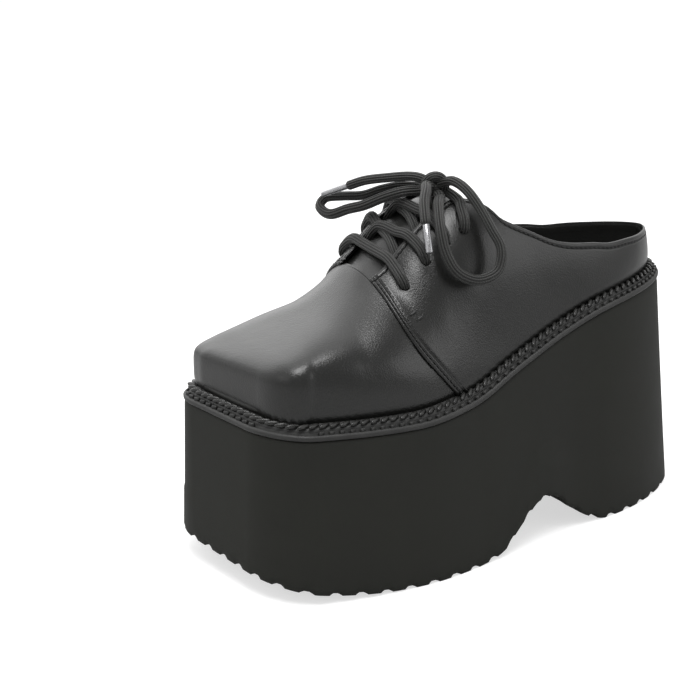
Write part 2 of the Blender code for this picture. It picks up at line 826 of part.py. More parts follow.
def build_knot(finish):
    """Knot of the bow, a plump lump."""
    bm = bmesh.new()
    bmesh.ops.create_icosphere(bm, subdivisions=2, radius=1.0)
    turn = Vector(KNOT_AXIS).to_track_quat("X", "Z").to_matrix()
    for vert in bm.verts:
        size = Vector((a * b for a, b in zip(vert.co, KNOT_SIZE)))
        vert.co = Vector(KNOT_PLACE) + turn @ size
    return add_mesh("lace_knot", bm, finish)


def at_knot(place, gap=KNOT_GAP):
    """The same direction from the knot's middle, just clear of its surface."""
    turn = Vector(KNOT_AXIS).to_track_quat("X", "Z").to_matrix().transposed()
    way = (Vector(place) - Vector(KNOT_PLACE)).normalized()
    local = turn @ way
    reach = 1.0 / math.sqrt(sum((a / b) ** 2 for a, b in zip(local, KNOT_SIZE)))
    return tuple(Vector(KNOT_PLACE) + way * (reach + gap))


def build_lace(last, cord, tag):
    """Crossings, the two rises to the knot, the knot, two loops and two ends with their tags."""
    build_crossings(last, cord)
    build_knot(cord)
    spacing = 4.0 * LACE_RADIUS
    rises = zip(("outer", "inner"), (1.0, -1.0), RISE_WAYS, RISE_STOPS, RISE_LIFT)
    for name, side, way, stops, lift in rises:
        route = [at_knot(Vector(KNOT_PLACE) + Vector(way), RISE_GAP)]
        for stop in stops:
            y = (EYELETS[-1] - 0.5) * LENGTH + RISE_BACK * (1.0 - stop)
            x = facing_place(last, EYELETS[-1], side, EYELET_SET * stop)
            point, normal = last.frame(x, y)
            route.append(tuple(point + normal * (QUARTER_STEP + LACE_RADIUS + lift)))
        build_cord("lace_rise_" + name, spline(route, 0.4 * spacing), LACE_RADIUS, cord)
    for side, route in (("outer", LOOP_OUTER), ("inner", LOOP_INNER)):
        ends = (at_knot(route[0]),) + route[1:-1] + (at_knot(route[-1]),)
        build_cord("lace_loop_" + side, spline(ends, spacing), LACE_RADIUS, cord)
    for side, route in (("outer", END_OUTER), ("inner", END_INNER)):
        line = spline((at_knot(route[0]),) + route[1:], spacing)
        build_cord("lace_end_" + side, line, LACE_RADIUS, cord)
        tip = Vector(line[-1])
        way = (tip - Vector(line[-2])).normalized()
        start = tip + way * CLEARANCE
        build_cord("lace_tag_" + side, [start, start + way * TAG_LENGTH], TAG_RADIUS, tag, 2)


def centre_shoe(sole):
    """Set the origin on the floor under the middle of the sole's plan."""
    spots = [v.co for v in sole.data.vertices]
    x = [p.x for p in spots]
    y = [p.y for p in spots]
    middle = Vector(((min(x) + max(x)) / 2.0, (min(y) + max(y)) / 2.0, 0.0))
    for item in bpy.data.objects:
        item.location = -middle


def main():
    """Build the shoe."""
    for item in list(bpy.data.objects):
        bpy.data.objects.remove(item, do_unlink=True)
    foam = material("platform_foam", (0.028, 0.028, 0.026), 0.75)
    rubber = material("welt_rubber", (0.020, 0.020, 0.020), 0.55)
    leather = material("black_leather", (0.015, 0.015, 0.016), 0.35)
    lining = material("lining", (0.018, 0.018, 0.018), 0.6)
    sole = build_sole(foam)
    build_welt(rubber)
    build_insole(lining)
    upper = build_upper(leather)
    last = Last()
    cut_eyelets(upper, last, leather)
    build_tongue(last, leather)
    cord = material("lace_cord", (0.013, 0.013, 0.013), 0.7)
    tag = material("lace_tag", (0.03, 0.03, 0.03), 0.2)
    build_lace(last, cord, tag)
    centre_shoe(sole)


main()
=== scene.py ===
"""Dress the platform mule, left shoe: leather upper, laced tongue, stitched welt, moulded platform.

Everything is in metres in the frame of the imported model: +Z up, toe towards -Y, the foot's outer
side towards +X. Each sub-assembly is a class that holds its sizes, builds its pieces and dresses
them. The shoe's form (its last, its plan and its heights) is one class that all the others ask.
"""

import logging
import math
from dataclasses import dataclass, field
from enum import Enum
from functools import partial
from typing import Callable, Optional, Sequence

import bmesh
import bpy
import numpy as np
from mathutils import Matrix, Vector
from mathutils.bvhtree import BVHTree

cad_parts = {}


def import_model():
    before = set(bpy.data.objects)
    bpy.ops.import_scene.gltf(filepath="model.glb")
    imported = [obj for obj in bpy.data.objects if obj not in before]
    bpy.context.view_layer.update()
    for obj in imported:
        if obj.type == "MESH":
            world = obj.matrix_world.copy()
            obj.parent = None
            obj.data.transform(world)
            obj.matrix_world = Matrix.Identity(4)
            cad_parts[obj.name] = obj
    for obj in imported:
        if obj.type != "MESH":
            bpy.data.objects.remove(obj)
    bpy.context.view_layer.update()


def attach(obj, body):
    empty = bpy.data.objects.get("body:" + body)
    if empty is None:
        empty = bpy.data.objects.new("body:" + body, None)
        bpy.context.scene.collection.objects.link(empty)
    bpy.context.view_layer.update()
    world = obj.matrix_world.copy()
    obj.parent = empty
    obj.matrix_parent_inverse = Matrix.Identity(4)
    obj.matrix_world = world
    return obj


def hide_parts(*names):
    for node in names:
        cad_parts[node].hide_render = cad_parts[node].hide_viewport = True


LOG = logging.getLogger("platform_mule")
FACES_OUT = partial(bpy.ops.mesh.normals_make_consistent, inside=False)
INSIDE_HEIGHT = 0.115  # a height inside the shoe, to tell a wall's outer face by
CORD_STEP = 0.0011  # distance between the points of a cord's line

Table = tuple[tuple[float, ...], ...]
Point = tuple[float, float, float]
Stop = tuple[np.ndarray, np.ndarray, float]


class Side(Enum):
    """Half of the shoe."""

    OUTER = 1.0
    INNER = -1.0


# ---- Modelling helpers ----


def deselect() -> None:
    """Clear the selection before an operator."""
    for item in bpy.context.selected_objects:
        item.select_set(False)


def pick(item: bpy.types.Object) -> None:
    """Select one object alone and make it active.

    Args:
        item: The object to pick.
    """
    deselect()
    item.select_set(True)
    bpy.context.view_layer.objects.active = item


def apply_modifier(item: bpy.types.Object, kind: str, **settings: object) -> None:
    """Add a modifier, set it and apply it.

    Args:
        item: The object that it works on.
        kind: The modifier's type.
        settings: Its properties by name.
    """
    pick(item)
    modifier = item.modifiers.new(kind.lower(), kind)
    for name, value in settings.items():
        setattr(modifier, name, value)
    bpy.ops.object.modifier_apply(modifier=modifier.name)


def primitive(name: str, add: Callable[..., object], **settings: object) -> bpy.types.Object:
    """Add a primitive with nothing else selected.

    Args:
        name: Name of the new piece.
        add: The operator that adds it.
        settings: The operator's own settings.

    Returns:
        The new object.
    """
    deselect()
    add(**settings)
    item = bpy.context.active_object
    item.name = name
    item.data.name = name
    return item


def grid_sheet(name: str, points: np.ndarray) -> bpy.types.Object:
    """Grid whose rows and columns are laid on given points.

    Args:
        name: Name of the new piece.
        points: Array of rows by columns by 3.

    Returns:
        The sheet, with its own UV map.
    """
    rows, columns = points.shape[:2]
    item = primitive(
        name,
        bpy.ops.mesh.primitive_grid_add,
        x_subdivisions=columns - 1,
        y_subdivisions=rows - 1,
        size=1.0,
    )
    item.data.vertices.foreach_set("co", points.reshape(-1).astype(np.float32))
    item.data.update()
    return item


def edit_all(item: bpy.types.Object, *steps: Callable[[], object]) -> None:
    """Run edit-mode operators on a mesh, with everything selected at first.

    Args:
        item: The mesh.
        steps: The operators, in order.
    """
    pick(item)
    bpy.ops.object.mode_set(mode="EDIT")
    bpy.ops.mesh.select_all(action="SELECT")
    for step in steps:
        step()
    bpy.ops.object.mode_set(mode="OBJECT")


def weld(item: bpy.types.Object, distance: float = 2e-5) -> None:
    """Merge points that lie closer than a distance and turn all faces outwards."""
    edit_all(item, partial(bpy.ops.mesh.remove_doubles, threshold=distance), FACES_OUT)


def smooth_shade(item: bpy.types.Object, angle: float) -> None:
    """Shade a piece smooth, apart from edges sharper than an angle in radians."""
    pick(item)
    bpy.ops.object.shade_smooth_by_angle(angle=angle)


def place_down(item: bpy.types.Object) -> None:
    """Move an object's place, turn and size into its mesh."""
    pick(item)
    bpy.ops.object.transform_apply(location=True, rotation=True, scale=True)


def wall(item: bpy.types.Object, depth: float) -> bpy.types.Object:
    """Turn a sheet's faces out and give it a thickness inwards, with the lining on its inner face.

    Args:
        item: The sheet.
        depth: The thickness.

    Returns:
        The same piece.
    """
    total = 0.0
    middle = Vector((0.0, 0.0, INSIDE_HEIGHT))
    for face in item.data.polygons:
        away = face.center - middle
        away.y = 0.0
        total += face.area * face.normal.dot(away)
    if total < 0.0:
        edit_all(item, bpy.ops.mesh.flip_normals)
    for _ in range(2):
        item.data.materials.append(None)
    apply_modifier(
        item, "SOLIDIFY", thickness=depth, offset=-1.0, use_even_offset=False, material_offset=1
    )
    smooth_shade(item, 0.9)
    return item


def join(name: str, items: Sequence[bpy.types.Object]) -> bpy.types.Object:
    """Join several meshes into one piece.

    Args:
        name: Name of the joined piece.
        items: The meshes.

    Returns:
        The joined object.
    """
    deselect()
    for item in items:
        item.select_set(True)
    bpy.context.view_layer.objects.active = items[0]
    bpy.ops.object.join()
    items[0].name = name
    items[0].data.name = name
    return items[0]


def repeat(name: str, model: bpy.types.Object, frames: Sequence[Matrix]) -> bpy.types.Object:
    """Copies of one modelled piece at many places, in one mesh; the model is used up.

    Args:
        name: Name of the new piece.
        model: The piece that repeats, at the origin.
        frames: Place, turn and size of each copy.

    Returns:
        The new object.
    """
    bm = bmesh.new()
    for frame in frames:
        before = len(bm.verts)
        bm.from_mesh(model.data)
        bm.verts.ensure_lookup_table()
        bmesh.ops.transform(bm, matrix=frame, verts=bm.verts[before:])
    mesh = bpy.data.meshes.new(name)
    bm.to_mesh(mesh)
    bm.free()
    item = bpy.data.objects.new(name, mesh)
    bpy.context.scene.collection.objects.link(item)
    bpy.data.objects.remove(model, do_unlink=True)
    return item


def frame_of(place: Vector, ahead: Vector, up: Vector) -> Matrix:
    """Frame with X along a line and Z away from the surface.

    Args:
        place: Its origin.
        ahead: The way that X points.
        up: Roughly the way that Z points.

    Returns:
        The frame as a matrix.
    """
    x = ahead.normalized()
    y = up.cross(x).normalized()
    return Matrix.Translation(place) @ Matrix((x, y, x.cross(y))).transposed().to_4x4()


def running(points: np.ndarray) -> np.ndarray:
    """Distance along a line up to each of its points."""
    return np.concatenate(([0.0], np.cumsum(np.linalg.norm(np.diff(points, axis=0), axis=1))))


def read_off(at: np.ndarray, run: np.ndarray, rows: Sequence[Sequence[float]]) -> np.ndarray:
    """Rows of a table read at given distances along it."""
    columns = np.asarray(rows).T
    return np.column_stack([np.interp(at, run, column) for column in columns])


def resample(points: np.ndarray, shares: np.ndarray) -> np.ndarray:
    """Points at the given shares, from 0 to 1, of a line's length."""
    run = running(points)
    return read_off(np.asarray(shares) * run[-1], run, points)


def run_length(points: np.ndarray) -> float:
    """Length of a line in metres."""
    return float(np.linalg.norm(np.diff(points, axis=0), axis=1).sum())


def spline(route: Sequence[Sequence[float]], spacing: float) -> np.ndarray:
    """Smooth line through route points, read off at an even spacing.

    Args:
        route: The points that it goes through.
        spacing: Distance between the points read off.

    Returns:
        The line's points.
    """
    given = np.array([tuple(p) for p in route], dtype=float)
    ends = np.vstack((2.0 * given[0] - given[1], given, 2.0 * given[-1] - given[-2]))
    t = np.linspace(0.0, 1.0, 24, endpoint=False)[:, None]
    pieces = []
    for a, b, c, d in zip(ends, ends[1:], ends[2:], ends[3:]):
        even = 2.0 * b + (c - a) * t
        curve = (2.0 * a - 5.0 * b + 4.0 * c - d) * t**2 + (3.0 * b - a - 3.0 * c + d) * t**3
        pieces.append(0.5 * (even + curve))
    line = np.vstack(pieces + [given[-1:]])
    count = max(4, int(round(run_length(line) / spacing)))
    return resample(line, np.linspace(0.0, 1.0, count + 1))


# ---- Finishes ----


class Nodes:
    """Short hand for laying out a finish's nodes."""

    def __init__(self, name: str) -> None:
        """Start a finish.

        Args:
            name: The finish's name.
        """
        self.finish = bpy.data.materials.new(name)
        self.finish.use_nodes = True
        self.tree = self.finish.node_tree
        self.shader = self.tree.nodes["Principled BSDF"]
        self.place = self.tree.nodes.new("ShaderNodeTexCoord").outputs["Object"]

    def add(self, kind: str, inputs: dict[str, object], **settings: object) -> bpy.types.Node:
        """Add a node, set it and link its inputs.

        Args:
            kind: The node's type.
            inputs: Values, or sockets to link, by input name.
            settings: The node's own properties.

        Returns:
            The node.
        """
        node = self.tree.nodes.new(kind)
        for name, value in settings.items():
            setattr(node, name, value)
        for name, value in inputs.items():
            socket = node.inputs[int(name)] if name.isdigit() else node.inputs[name]
            if isinstance(value, bpy.types.NodeSocket):
                self.tree.links.new(value, socket)
            else:
                socket.default_value = value
        return node

    def link(self, socket: bpy.types.NodeSocket, name: str) -> None:
        """Lead a socket into one of the shader's own."""
        self.tree.links.new(socket, self.shader.inputs[name])

    def math(self, operation: str, first: object, second: object = 0.0) -> bpy.types.NodeSocket:
        """One step of arithmetic on values or sockets."""
        return self.add("ShaderNodeMath", {"0": first, "1": second}, operation=operation).outputs[0]

    def ramp(
        self, value: bpy.types.NodeSocket, low: float, high: float, out_low: float, out_high: float
    ) -> bpy.types.NodeSocket:
        """Value mapped from one range to another, held at its ends."""
        inputs = {"0": value, "1": low, "2": high, "3": out_low, "4": out_high}
        return self.add("ShaderNodeMapRange", inputs).outputs[0]

    def noise(self, scale: float, detail: float = 2.0, rough: float = 0.5) -> bpy.types.NodeSocket:
        """Cloudy noise from 0 to 1 on the object's own place, in lumps per metre."""
        inputs = {"Vector": self.place, "Scale": scale, "Detail": detail, "Roughness": rough}
        return self.add("ShaderNodeTexNoise", inputs).outputs["Fac"]

    def cells(self, scale: float) -> bpy.types.NodeSocket:
        """Distance in a cell pattern on the object's own place, in cells per metre."""
        inputs = {"Vector": self.place, "Scale": scale}
        return self.add("ShaderNodeTexVoronoi", inputs, feature="F1").outputs["Distance"]

    def colour(self, value: bpy.types.NodeSocket, low: Point, high: Point) -> None:
        """Base colour that runs between two by a value from 0 to 1."""
        inputs = {"0": value, "6": (*low, 1.0), "7": (*high, 1.0)}
        self.link(self.add("ShaderNodeMix", inputs, data_type="RGBA").outputs[2], "Base Color")

    def rough(
        self, value: bpy.types.NodeSocket, middle: float, less: float, more: float, low: float = 0.3
    ) -> None:
        """Roughness that varies round its middle by a value that is mostly near a half."""
        self.link(self.ramp(value, low, 1.0 - low, middle - less, middle + more), "Roughness")

    def bump(self, height: bpy.types.NodeSocket, distance: float, strength: float = 1.0) -> None:
        """Relief in the shading, on top of what is there.

        Args:
            height: The relief from 0 to 1.
            distance: Its depth in metres.
            strength: Its share.
        """
        inputs: dict[str, object] = {"Height": height, "Distance": distance, "Strength": strength}
        linked = self.shader.inputs["Normal"].links
        if linked:
            inputs["Normal"] = linked[0].from_socket
        self.link(self.add("ShaderNodeBump", inputs).outputs["Normal"], "Normal")

    def set(self, **values: object) -> None:
        """Even values on the shader's own sockets, by name with underscores for spaces."""
        for name, value in values.items():
            self.shader.inputs[name.replace("_", " ")].default_value = value


@dataclass(frozen=True)
class Leather:
    """Smooth black leather with a fine grain and a half gloss."""

    name: str = "black_leather"
    dark: Point = (0.0045, 0.0045, 0.0042)
    light: Point = (0.0090, 0.0092, 0.0084)
    roughness: float = 0.30
    grain: float = 1350.0
    grain_depth: float = 0.00014
    coat: float = 0.22

    def build(self) -> bpy.types.Material:
        """Lay out the finish.

        Returns:
            The material.
        """
        n = Nodes(self.name)
        pebble = n.cells(self.grain)
        fine = n.noise(self.grain * 1.6, 3.0, 0.6)
        cloud = n.noise(28.0, 3.0, 0.5)
        n.colour(n.ramp(n.math("ADD", pebble, cloud), 0.4, 1.3, 0.0, 1.0), self.dark, self.light)
        wear = n.math("ADD", n.math("MULTIPLY", cloud, 0.5), n.math("MULTIPLY", fine, 0.5))
        n.rough(wear, self.roughness, 0.05, 0.07, 0.25)
        n.bump(n.math("ADD", pebble, n.math("MULTIPLY", fine, 0.6)), self.grain_depth, 0.55)
        n.bump(n.noise(160.0, 2.0), 0.00022, 0.35)
        n.set(Coat_Weight=self.coat, Coat_Roughness=0.20, Specular_IOR_Level=0.42)
        return n.finish


@dataclass(frozen=True)
class Foam:
    """Moulded platform foam, matt, with fine pits and a few light specks."""

    name: str = "platform_foam"
    dark: Point = (0.0112, 0.0116, 0.0094)
    light: Point = (0.0168, 0.0174, 0.0141)
    roughness: float = 0.70

    def build(self) -> bpy.types.Material:
        """Lay out the finish.

        Returns:
            The material.
        """
        n = Nodes(self.name)
        cloud = n.noise(18.0, 4.0, 0.6)
        pits = n.noise(2600.0, 2.0, 0.6)
        mottle = n.math("ADD", cloud, n.math("MULTIPLY", pits, 0.4))
        n.colour(n.ramp(mottle, 0.5, 0.9, 0.0, 1.0), self.dark, self.light)
        n.rough(cloud, self.roughness, 0.05, 0.08)
        n.bump(pits, 0.00008, 0.5)
        n.bump(n.noise(340.0, 2.0), 0.00012, 0.3)
        n.set(Specular_IOR_Level=0.28)
        return n.finish


@dataclass(frozen=True)
class Rubber:
    """Satin rubber of the welt."""

    name: str = "welt_rubber"
    dark: Point = (0.0130, 0.0130, 0.0125)
    light: Point = (0.0240, 0.0240, 0.0230)
    roughness: float = 0.52

    def build(self) -> bpy.types.Material:
        """Lay out the finish.

        Returns:
            The material.
        """
        n = Nodes(self.name)
        cloud = n.noise(70.0, 4.0, 0.6)
        fine = n.noise(2200.0, 2.0, 0.6)
        n.colour(n.ramp(cloud, 0.35, 0.7, 0.0, 1.0), self.dark, self.light)
        n.rough(fine, self.roughness, 0.06, 0.10)
        n.bump(fine, 0.00005, 0.5)
        n.set(Specular_IOR_Level=0.5)
        return n.finish


@dataclass(frozen=True)
class WaxedRope:
    """Waxed rope laid round the welt, glossier than the rubber."""

    name: str = "waxed_rope"
    dark: Point = (0.0060, 0.0060, 0.0056)
    light: Point = (0.0260, 0.0260, 0.0245)
    roughness: float = 0.24

    def build(self) -> bpy.types.Material:
        """Lay out the finish.

        Returns:
            The material.
        """
        n = Nodes(self.name)
        fibre = n.noise(1900.0, 3.0, 0.7)
        cloud = n.noise(120.0, 2.0)
        n.colour(n.ramp(n.math("ADD", fibre, cloud), 0.7, 1.3, 0.0, 1.0), self.dark, self.light)
        n.rough(fibre, self.roughness, 0.06, 0.16)
        n.bump(fibre, 0.00010, 0.8)
        return n.finish


@dataclass(frozen=True)
class Lining:
    """Dark lining leather, matt, with open pores."""

    name: str = "lining"
    dark: Point = (0.0270, 0.0277, 0.0258)
    light: Point = (0.0500, 0.0510, 0.0480)
    roughness: float = 0.62

    def build(self) -> bpy.types.Material:
        """Lay out the finish.

        Returns:
            The material.
        """
        n = Nodes(self.name)
        pores = n.cells(900.0)
        cloud = n.noise(40.0, 3.0)
        n.colour(n.ramp(n.math("ADD", pores, cloud), 0.4, 1.3, 0.0, 1.0), self.dark, self.light)
        n.rough(cloud, self.roughness, 0.06, 0.10)
        n.bump(pores, 0.00008, 0.5)
        return n.finish


@dataclass(frozen=True)
class Braid:
    """Waxed braid of the lace, with painted shade in its grooves and painted highlight on its
    crests; its relief and this painted light follow the cord's own UV map.
    """

    name: str = "lace_cord"
    dark: Point = (0.0030, 0.0030, 0.0028)
    light: Point = (0.0340, 0.0345, 0.0320)
    roughness: float = 0.58
    rows: float = 3.0
    strands: float = 11.0

    def build(self) -> bpy.types.Material:
        """Lay out the finish.

        Returns:
            The material.
        """
        n = Nodes(self.name)
        uv = n.tree.nodes.new("ShaderNodeUVMap")
        uv.uv_map = "UVMap"
        split = n.add("ShaderNodeSeparateXYZ", {"0": uv.outputs[0]})
        along, around = split.outputs[0], split.outputs[1]
        ribs = n.math("MULTIPLY", around, math.pi * self.strands)
        across = n.math("ABSOLUTE", n.math("COSINE", ribs))
        lean = n.math("MULTIPLY", across, 2.2)
        rows = n.math("MULTIPLY", along, 2.0 * math.pi * self.rows)
        knit = n.math("SINE", n.math("ADD", rows, lean))
        plait = n.math("MULTIPLY", across, n.ramp(knit, -1.0, 1.0, 0.72, 1.0))
        fibre = n.noise(5200.0, 2.0, 0.7)
        # Painted shade and highlight: the colour is dark in the grooves between ribs and rows and
        # light on the rib crests, with random fibre tone on top.
        painted_groove_shade_and_fibre = n.math("ADD", n.math("POWER", plait, 1.6), n.math("MULTIPLY", fibre, 0.25))
        n.colour(n.ramp(painted_groove_shade_and_fibre, 0.15, 1.15, 0.0, 1.0), self.dark, self.light)
        n.rough(fibre, self.roughness, 0.08, 0.12)
        n.bump(plait, 0.00022, 0.8)
        n.bump(fibre, 0.00006, 0.5)
        n.set(Sheen_Weight=0.12, Sheen_Roughness=0.4)
        return n.finish


@dataclass(frozen=True)
class Thread:
    """Waxed sewing thread."""

    name: str = "thread"
    dark: Point = (0.006, 0.006, 0.006)
    light: Point = (0.012, 0.012, 0.012)
    roughness: float = 0.45

    def build(self) -> bpy.types.Material:
        """Lay out the finish.

        Returns:
            The material.
        """
        n = Nodes(self.name)
        twist = n.noise(3600.0, 2.0)
        n.colour(twist, self.dark, self.light)
        n.bump(twist, 0.00006, 0.6)
        n.set(Roughness=self.roughness)
        return n.finish


@dataclass(frozen=True)
class TagGloss:
    """Glossy metal-look tag at the lace's end."""

    name: str = "lace_tag"
    dark: Point = (0.30, 0.30, 0.31)
    light: Point = (0.42, 0.42, 0.43)
    roughness: float = 0.20

    def build(self) -> bpy.types.Material:
        """Lay out the finish.

        Returns:
            The material.
        """
        n = Nodes(self.name)
        scuff = n.noise(420.0, 3.0)
        n.colour(scuff, self.dark, self.light)
        n.rough(scuff, self.roughness, 0.06, 0.12)
        n.bump(scuff, 0.00002, 0.3)
        n.set(Metallic=0.85)
        return n.finish


@dataclass(frozen=True)
class Floor:
    """Plain pale studio floor."""

    name: str = "studio_floor"
    grey: Point = (0.52, 0.52, 0.52)
    lift: float = 0.62

    def build(self) -> bpy.types.Material:
        """Lay out the finish.

        Returns:
            The material.
        """
        n = Nodes(self.name)
        n.set(Base_Color=(*self.grey, 1.0), Roughness=0.9, Specular_IOR_Level=0.1)
        n.set(Emission_Color=(1.0, 1.0, 1.0, 1.0))
        seen = n.add("ShaderNodeLightPath", {}).outputs["Is Camera Ray"]
        n.link(n.math("MULTIPLY", seen, self.lift), "Emission Strength")
        return n.finish


def made(kind: type) -> bpy.types.Material:
    """Field of a finish that is made with the object that holds it."""
    return field(default_factory=lambda: kind().build())


@dataclass
class Finishes:
    """All finishes of the shoe, made once."""

    leather: bpy.types.Material = made(Leather)
    foam: bpy.types.Material = made(Foam)
    rubber: bpy.types.Material = made(Rubber)
    lining: bpy.types.Material = made(Lining)
    braid: bpy.types.Material = made(Braid)
    thread: bpy.types.Material = made(Thread)
    rope: bpy.types.Material = made(WaxedRope)
    tag: bpy.types.Material = made(TagGloss)


def dress(
    item: bpy.types.Object, slot: str, nodes: Sequence[str], *finishes: bpy.types.Material
) -> None:
    """Give a piece its finishes and its body, and hide the nodes that it replaces.

    Args:
        item: The piece.
        slot: Not used; the record's material slot that it stands for.
        nodes: The nodes that it replaces, if any.
        finishes: Its materials, in slot order.
    """
    item.data.materials.clear()
    for finish in finishes:
        item.data.materials.append(finish)
    if nodes:
        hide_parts(*nodes)
    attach(item, "root")
    LOG.info("%s: %d faces", item.name, len(item.data.polygons))


# ---- The shoe's form ----


@dataclass
class ShoeForm:
    """Plan, heights and last of the shoe, as the part's source has them."""

    length: float = 0.2660
    ball_width: float = 0.1053
    toe_corner: float = 0.0218
    toe_slant: float = 0.15
    toe_slant_length: float = 0.0665
    heel_round: float = 0.0638
    heel_power: float = 1.8
    instep: float = 0.0825
    front_height: float = 0.0765
    heel_rise: float = 0.0425
    toe_spring: float = 0.0114
    arch_height: float = 0.0228
    flare_front: float = 0.0022
    flare_heel: float = 0.0152
    flare_side: float = 0.0055
    welt_height: float = 0.0061
    welt_shelf: float = 0.0066
    clearance: float = 0.0003
    throat_gap: float = 0.0135
    toe_edge: float = 9.0
    toe_edge_full: float = 0.12
    toe_edge_gone: float = 0.33
    toe_edge_fall: float = 2.4
    toe_push: float = 0.0024
    # How ribs lean: power of the lean, and where it sets in and ends, each a share and its run
    lead_power: float = 2.4
    lead_in: tuple[float, float] = (0.14, 0.20)
    lead_out: tuple[float, float] = (0.74, 0.14)
    throat_end: float = 0.560
    lace_line: float = -0.038
    seam: float = 0.440
    centre: tuple[float, float] = (0.001845, 0.007856)

    # Half widths of the welt: share of length, outer and inner half as shares of the ball width
    plan: Table = (
        (0.00, 0.399, 0.422), (0.10, 0.457, 0.450), (0.22, 0.501, 0.475), (0.33, 0.520, 0.485),
        (0.45, 0.483, 0.440), (0.58, 0.420, 0.371), (0.70, 0.374, 0.336), (0.82, 0.361, 0.346),
        (0.92, 0.357, 0.353), (1.00, 0.359, 0.349),
    )
    # Top of the block: share of length, share of the heel's rise
    top_line: Table = (
        (0.00, 0.075), (0.12, 0.030), (0.30, 0.000), (0.42, 0.080), (0.54, 0.350), (0.66, 0.615),
        (0.80, 0.865), (1.00, 0.995),
    )
    # Underside: share of length, shares of the toe spring and of the arch's height
    tread_line: Table = (
        (0.000, 1.00, 0.00), (0.080, 0.58, 0.00), (0.170, 0.24, 0.00), (0.250, 0.06, 0.00),
        (0.330, 0.00, 0.00), (0.430, 0.00, 0.00), (0.470, 0.00, 0.04), (0.506, 0.00, 0.17),
        (0.534, 0.00, 0.46), (0.566, 0.00, 0.76), (0.595, 0.00, 0.98), (0.625, 0.00, 1.00),
        (0.655, 0.00, 0.78), (0.690, 0.00, 0.47), (0.733, 0.00, 0.17), (0.780, 0.00, 0.00),
        (1.000, 0.00, 0.00),
    )
    # Last: share of length, ridge height and ridge place, roundness of the outer and inner half
    last: Table = (
        (0.00, 0.232, -0.005, 6.0, 6.0), (0.05, 0.262, -0.010, 5.6, 5.6),
        (0.10, 0.330, -0.018, 4.8, 4.8), (0.16, 0.412, -0.030, 3.4, 3.3),
        (0.24, 0.533, -0.050, 2.5, 2.5), (0.28, 0.618, -0.064, 2.2, 2.3),
        (0.31, 0.700, -0.074, 1.95, 2.4), (0.34, 0.772, -0.076, 1.85, 2.6),
        (0.373, 0.872, -0.076, 1.95, 2.7), (0.412, 0.958, -0.074, 2.15, 2.8),
        (0.459, 1.000, -0.070, 2.45, 2.8), (0.50, 0.988, -0.062, 2.60, 2.8),
        (0.55, 0.952, -0.052, 2.45, 2.7), (0.60, 0.902, -0.042, 2.25, 2.5),
        (0.75, 0.708, -0.020, 2.10, 2.1), (0.90, 0.550, -0.005, 2.10, 2.1),
        (1.00, 0.473, 0.000, 2.10, 2.1),
    )
    # Top edge of the quarters: share of length, share of the instep's height above the welt
    collar: Table = (
        (0.44, 1.030), (0.48, 0.972), (0.51, 0.919), (0.538, 0.838), (0.5545, 0.762),
        (0.578, 0.695), (0.615, 0.599), (0.658, 0.490), (0.706, 0.401), (0.756, 0.335),
        (0.8075, 0.279), (0.853, 0.262), (0.902, 0.246), (0.95, 0.238), (1.00, 0.232),
    )
    # Ribs: share of the way round one side, share of length at which that rib meets the ridge
    ribs: Table = (
        (0.00, 0.130), (0.09, 0.147), (0.19, 0.176), (0.30, 0.222), (0.40, 0.275), (0.440, 0.308),
        (0.52, 0.368), (0.60, 0.455), (0.68, 0.575), (0.76, 0.690), (0.84, 0.790), (0.92, 0.860),
        (1.00, 0.885),
    )

    def __post_init__(self) -> None:
        """Lay out both sides of the welt's edge; the whole last is laid out when first asked for.
        """
        self.edges = {side: self._edge(side.value) for side in Side}
        self._tree: Optional[BVHTree] = None

    @staticmethod
    def read(table: Table, index: int, at: object) -> np.ndarray:
        """Smooth, overshoot-free reading of one column of a table.

        Args:
            table: Rows that start with a share.
            index: The column.
            at: Shares to read it at.

        Returns:
            The values.
        """
        x = np.array([row[0] for row in table])
        y = np.array([row[index] for row in table])
        step = np.diff(x)
        slope = np.diff(y) / step
        tangent = np.zeros_like(y)
        tangent[0], tangent[-1] = slope[0], slope[-1]
        for i in range(1, len(x) - 1):
            if slope[i - 1] * slope[i] > 0.0:
                a = 2.0 * step[i] + step[i - 1]
                b = step[i] + 2.0 * step[i - 1]
                tangent[i] = (a + b) / (a / slope[i - 1] + b / slope[i])
        at = np.clip(np.asarray(at, dtype=float), x[0], x[-1])
        cell = np.clip(np.searchsorted(x, at, side="right") - 1, 0, len(x) - 2)
        t = (at - x[cell]) / step[cell]
        left = (1 + 2 * t) * (1 - t) ** 2 * y[cell] + t * (1 - t) ** 2 * step[cell] * tangent[cell]
        right = t * t * (3 - 2 * t) * y[cell + 1] + t * t * (t - 1) * step[cell] * tangent[cell + 1]
        return left + right

    def share_of(self, y: object) -> np.ndarray:
        """Share of length at a place along the shoe."""
        return np.clip(np.asarray(y) / self.length + 0.5, 0.0, 1.0)

    def block_top(self, y: object) -> np.ndarray:
        """Height of the block's top edge."""
        return self.front_height + self.heel_rise * self.read(self.top_line, 1, self.share_of(y))

    def tread(self, y: object) -> np.ndarray:
        """Height of the underside."""
        share = self.share_of(y)
        spring = self.toe_spring * self.read(self.tread_line, 1, share)
        return spring + self.arch_height * self.read(self.tread_line, 2, share)

    def upper_base(self, y: object) -> np.ndarray:
        """Height at which the upper meets the welt."""
        return self.block_top(y) + self.welt_height + self.clearance

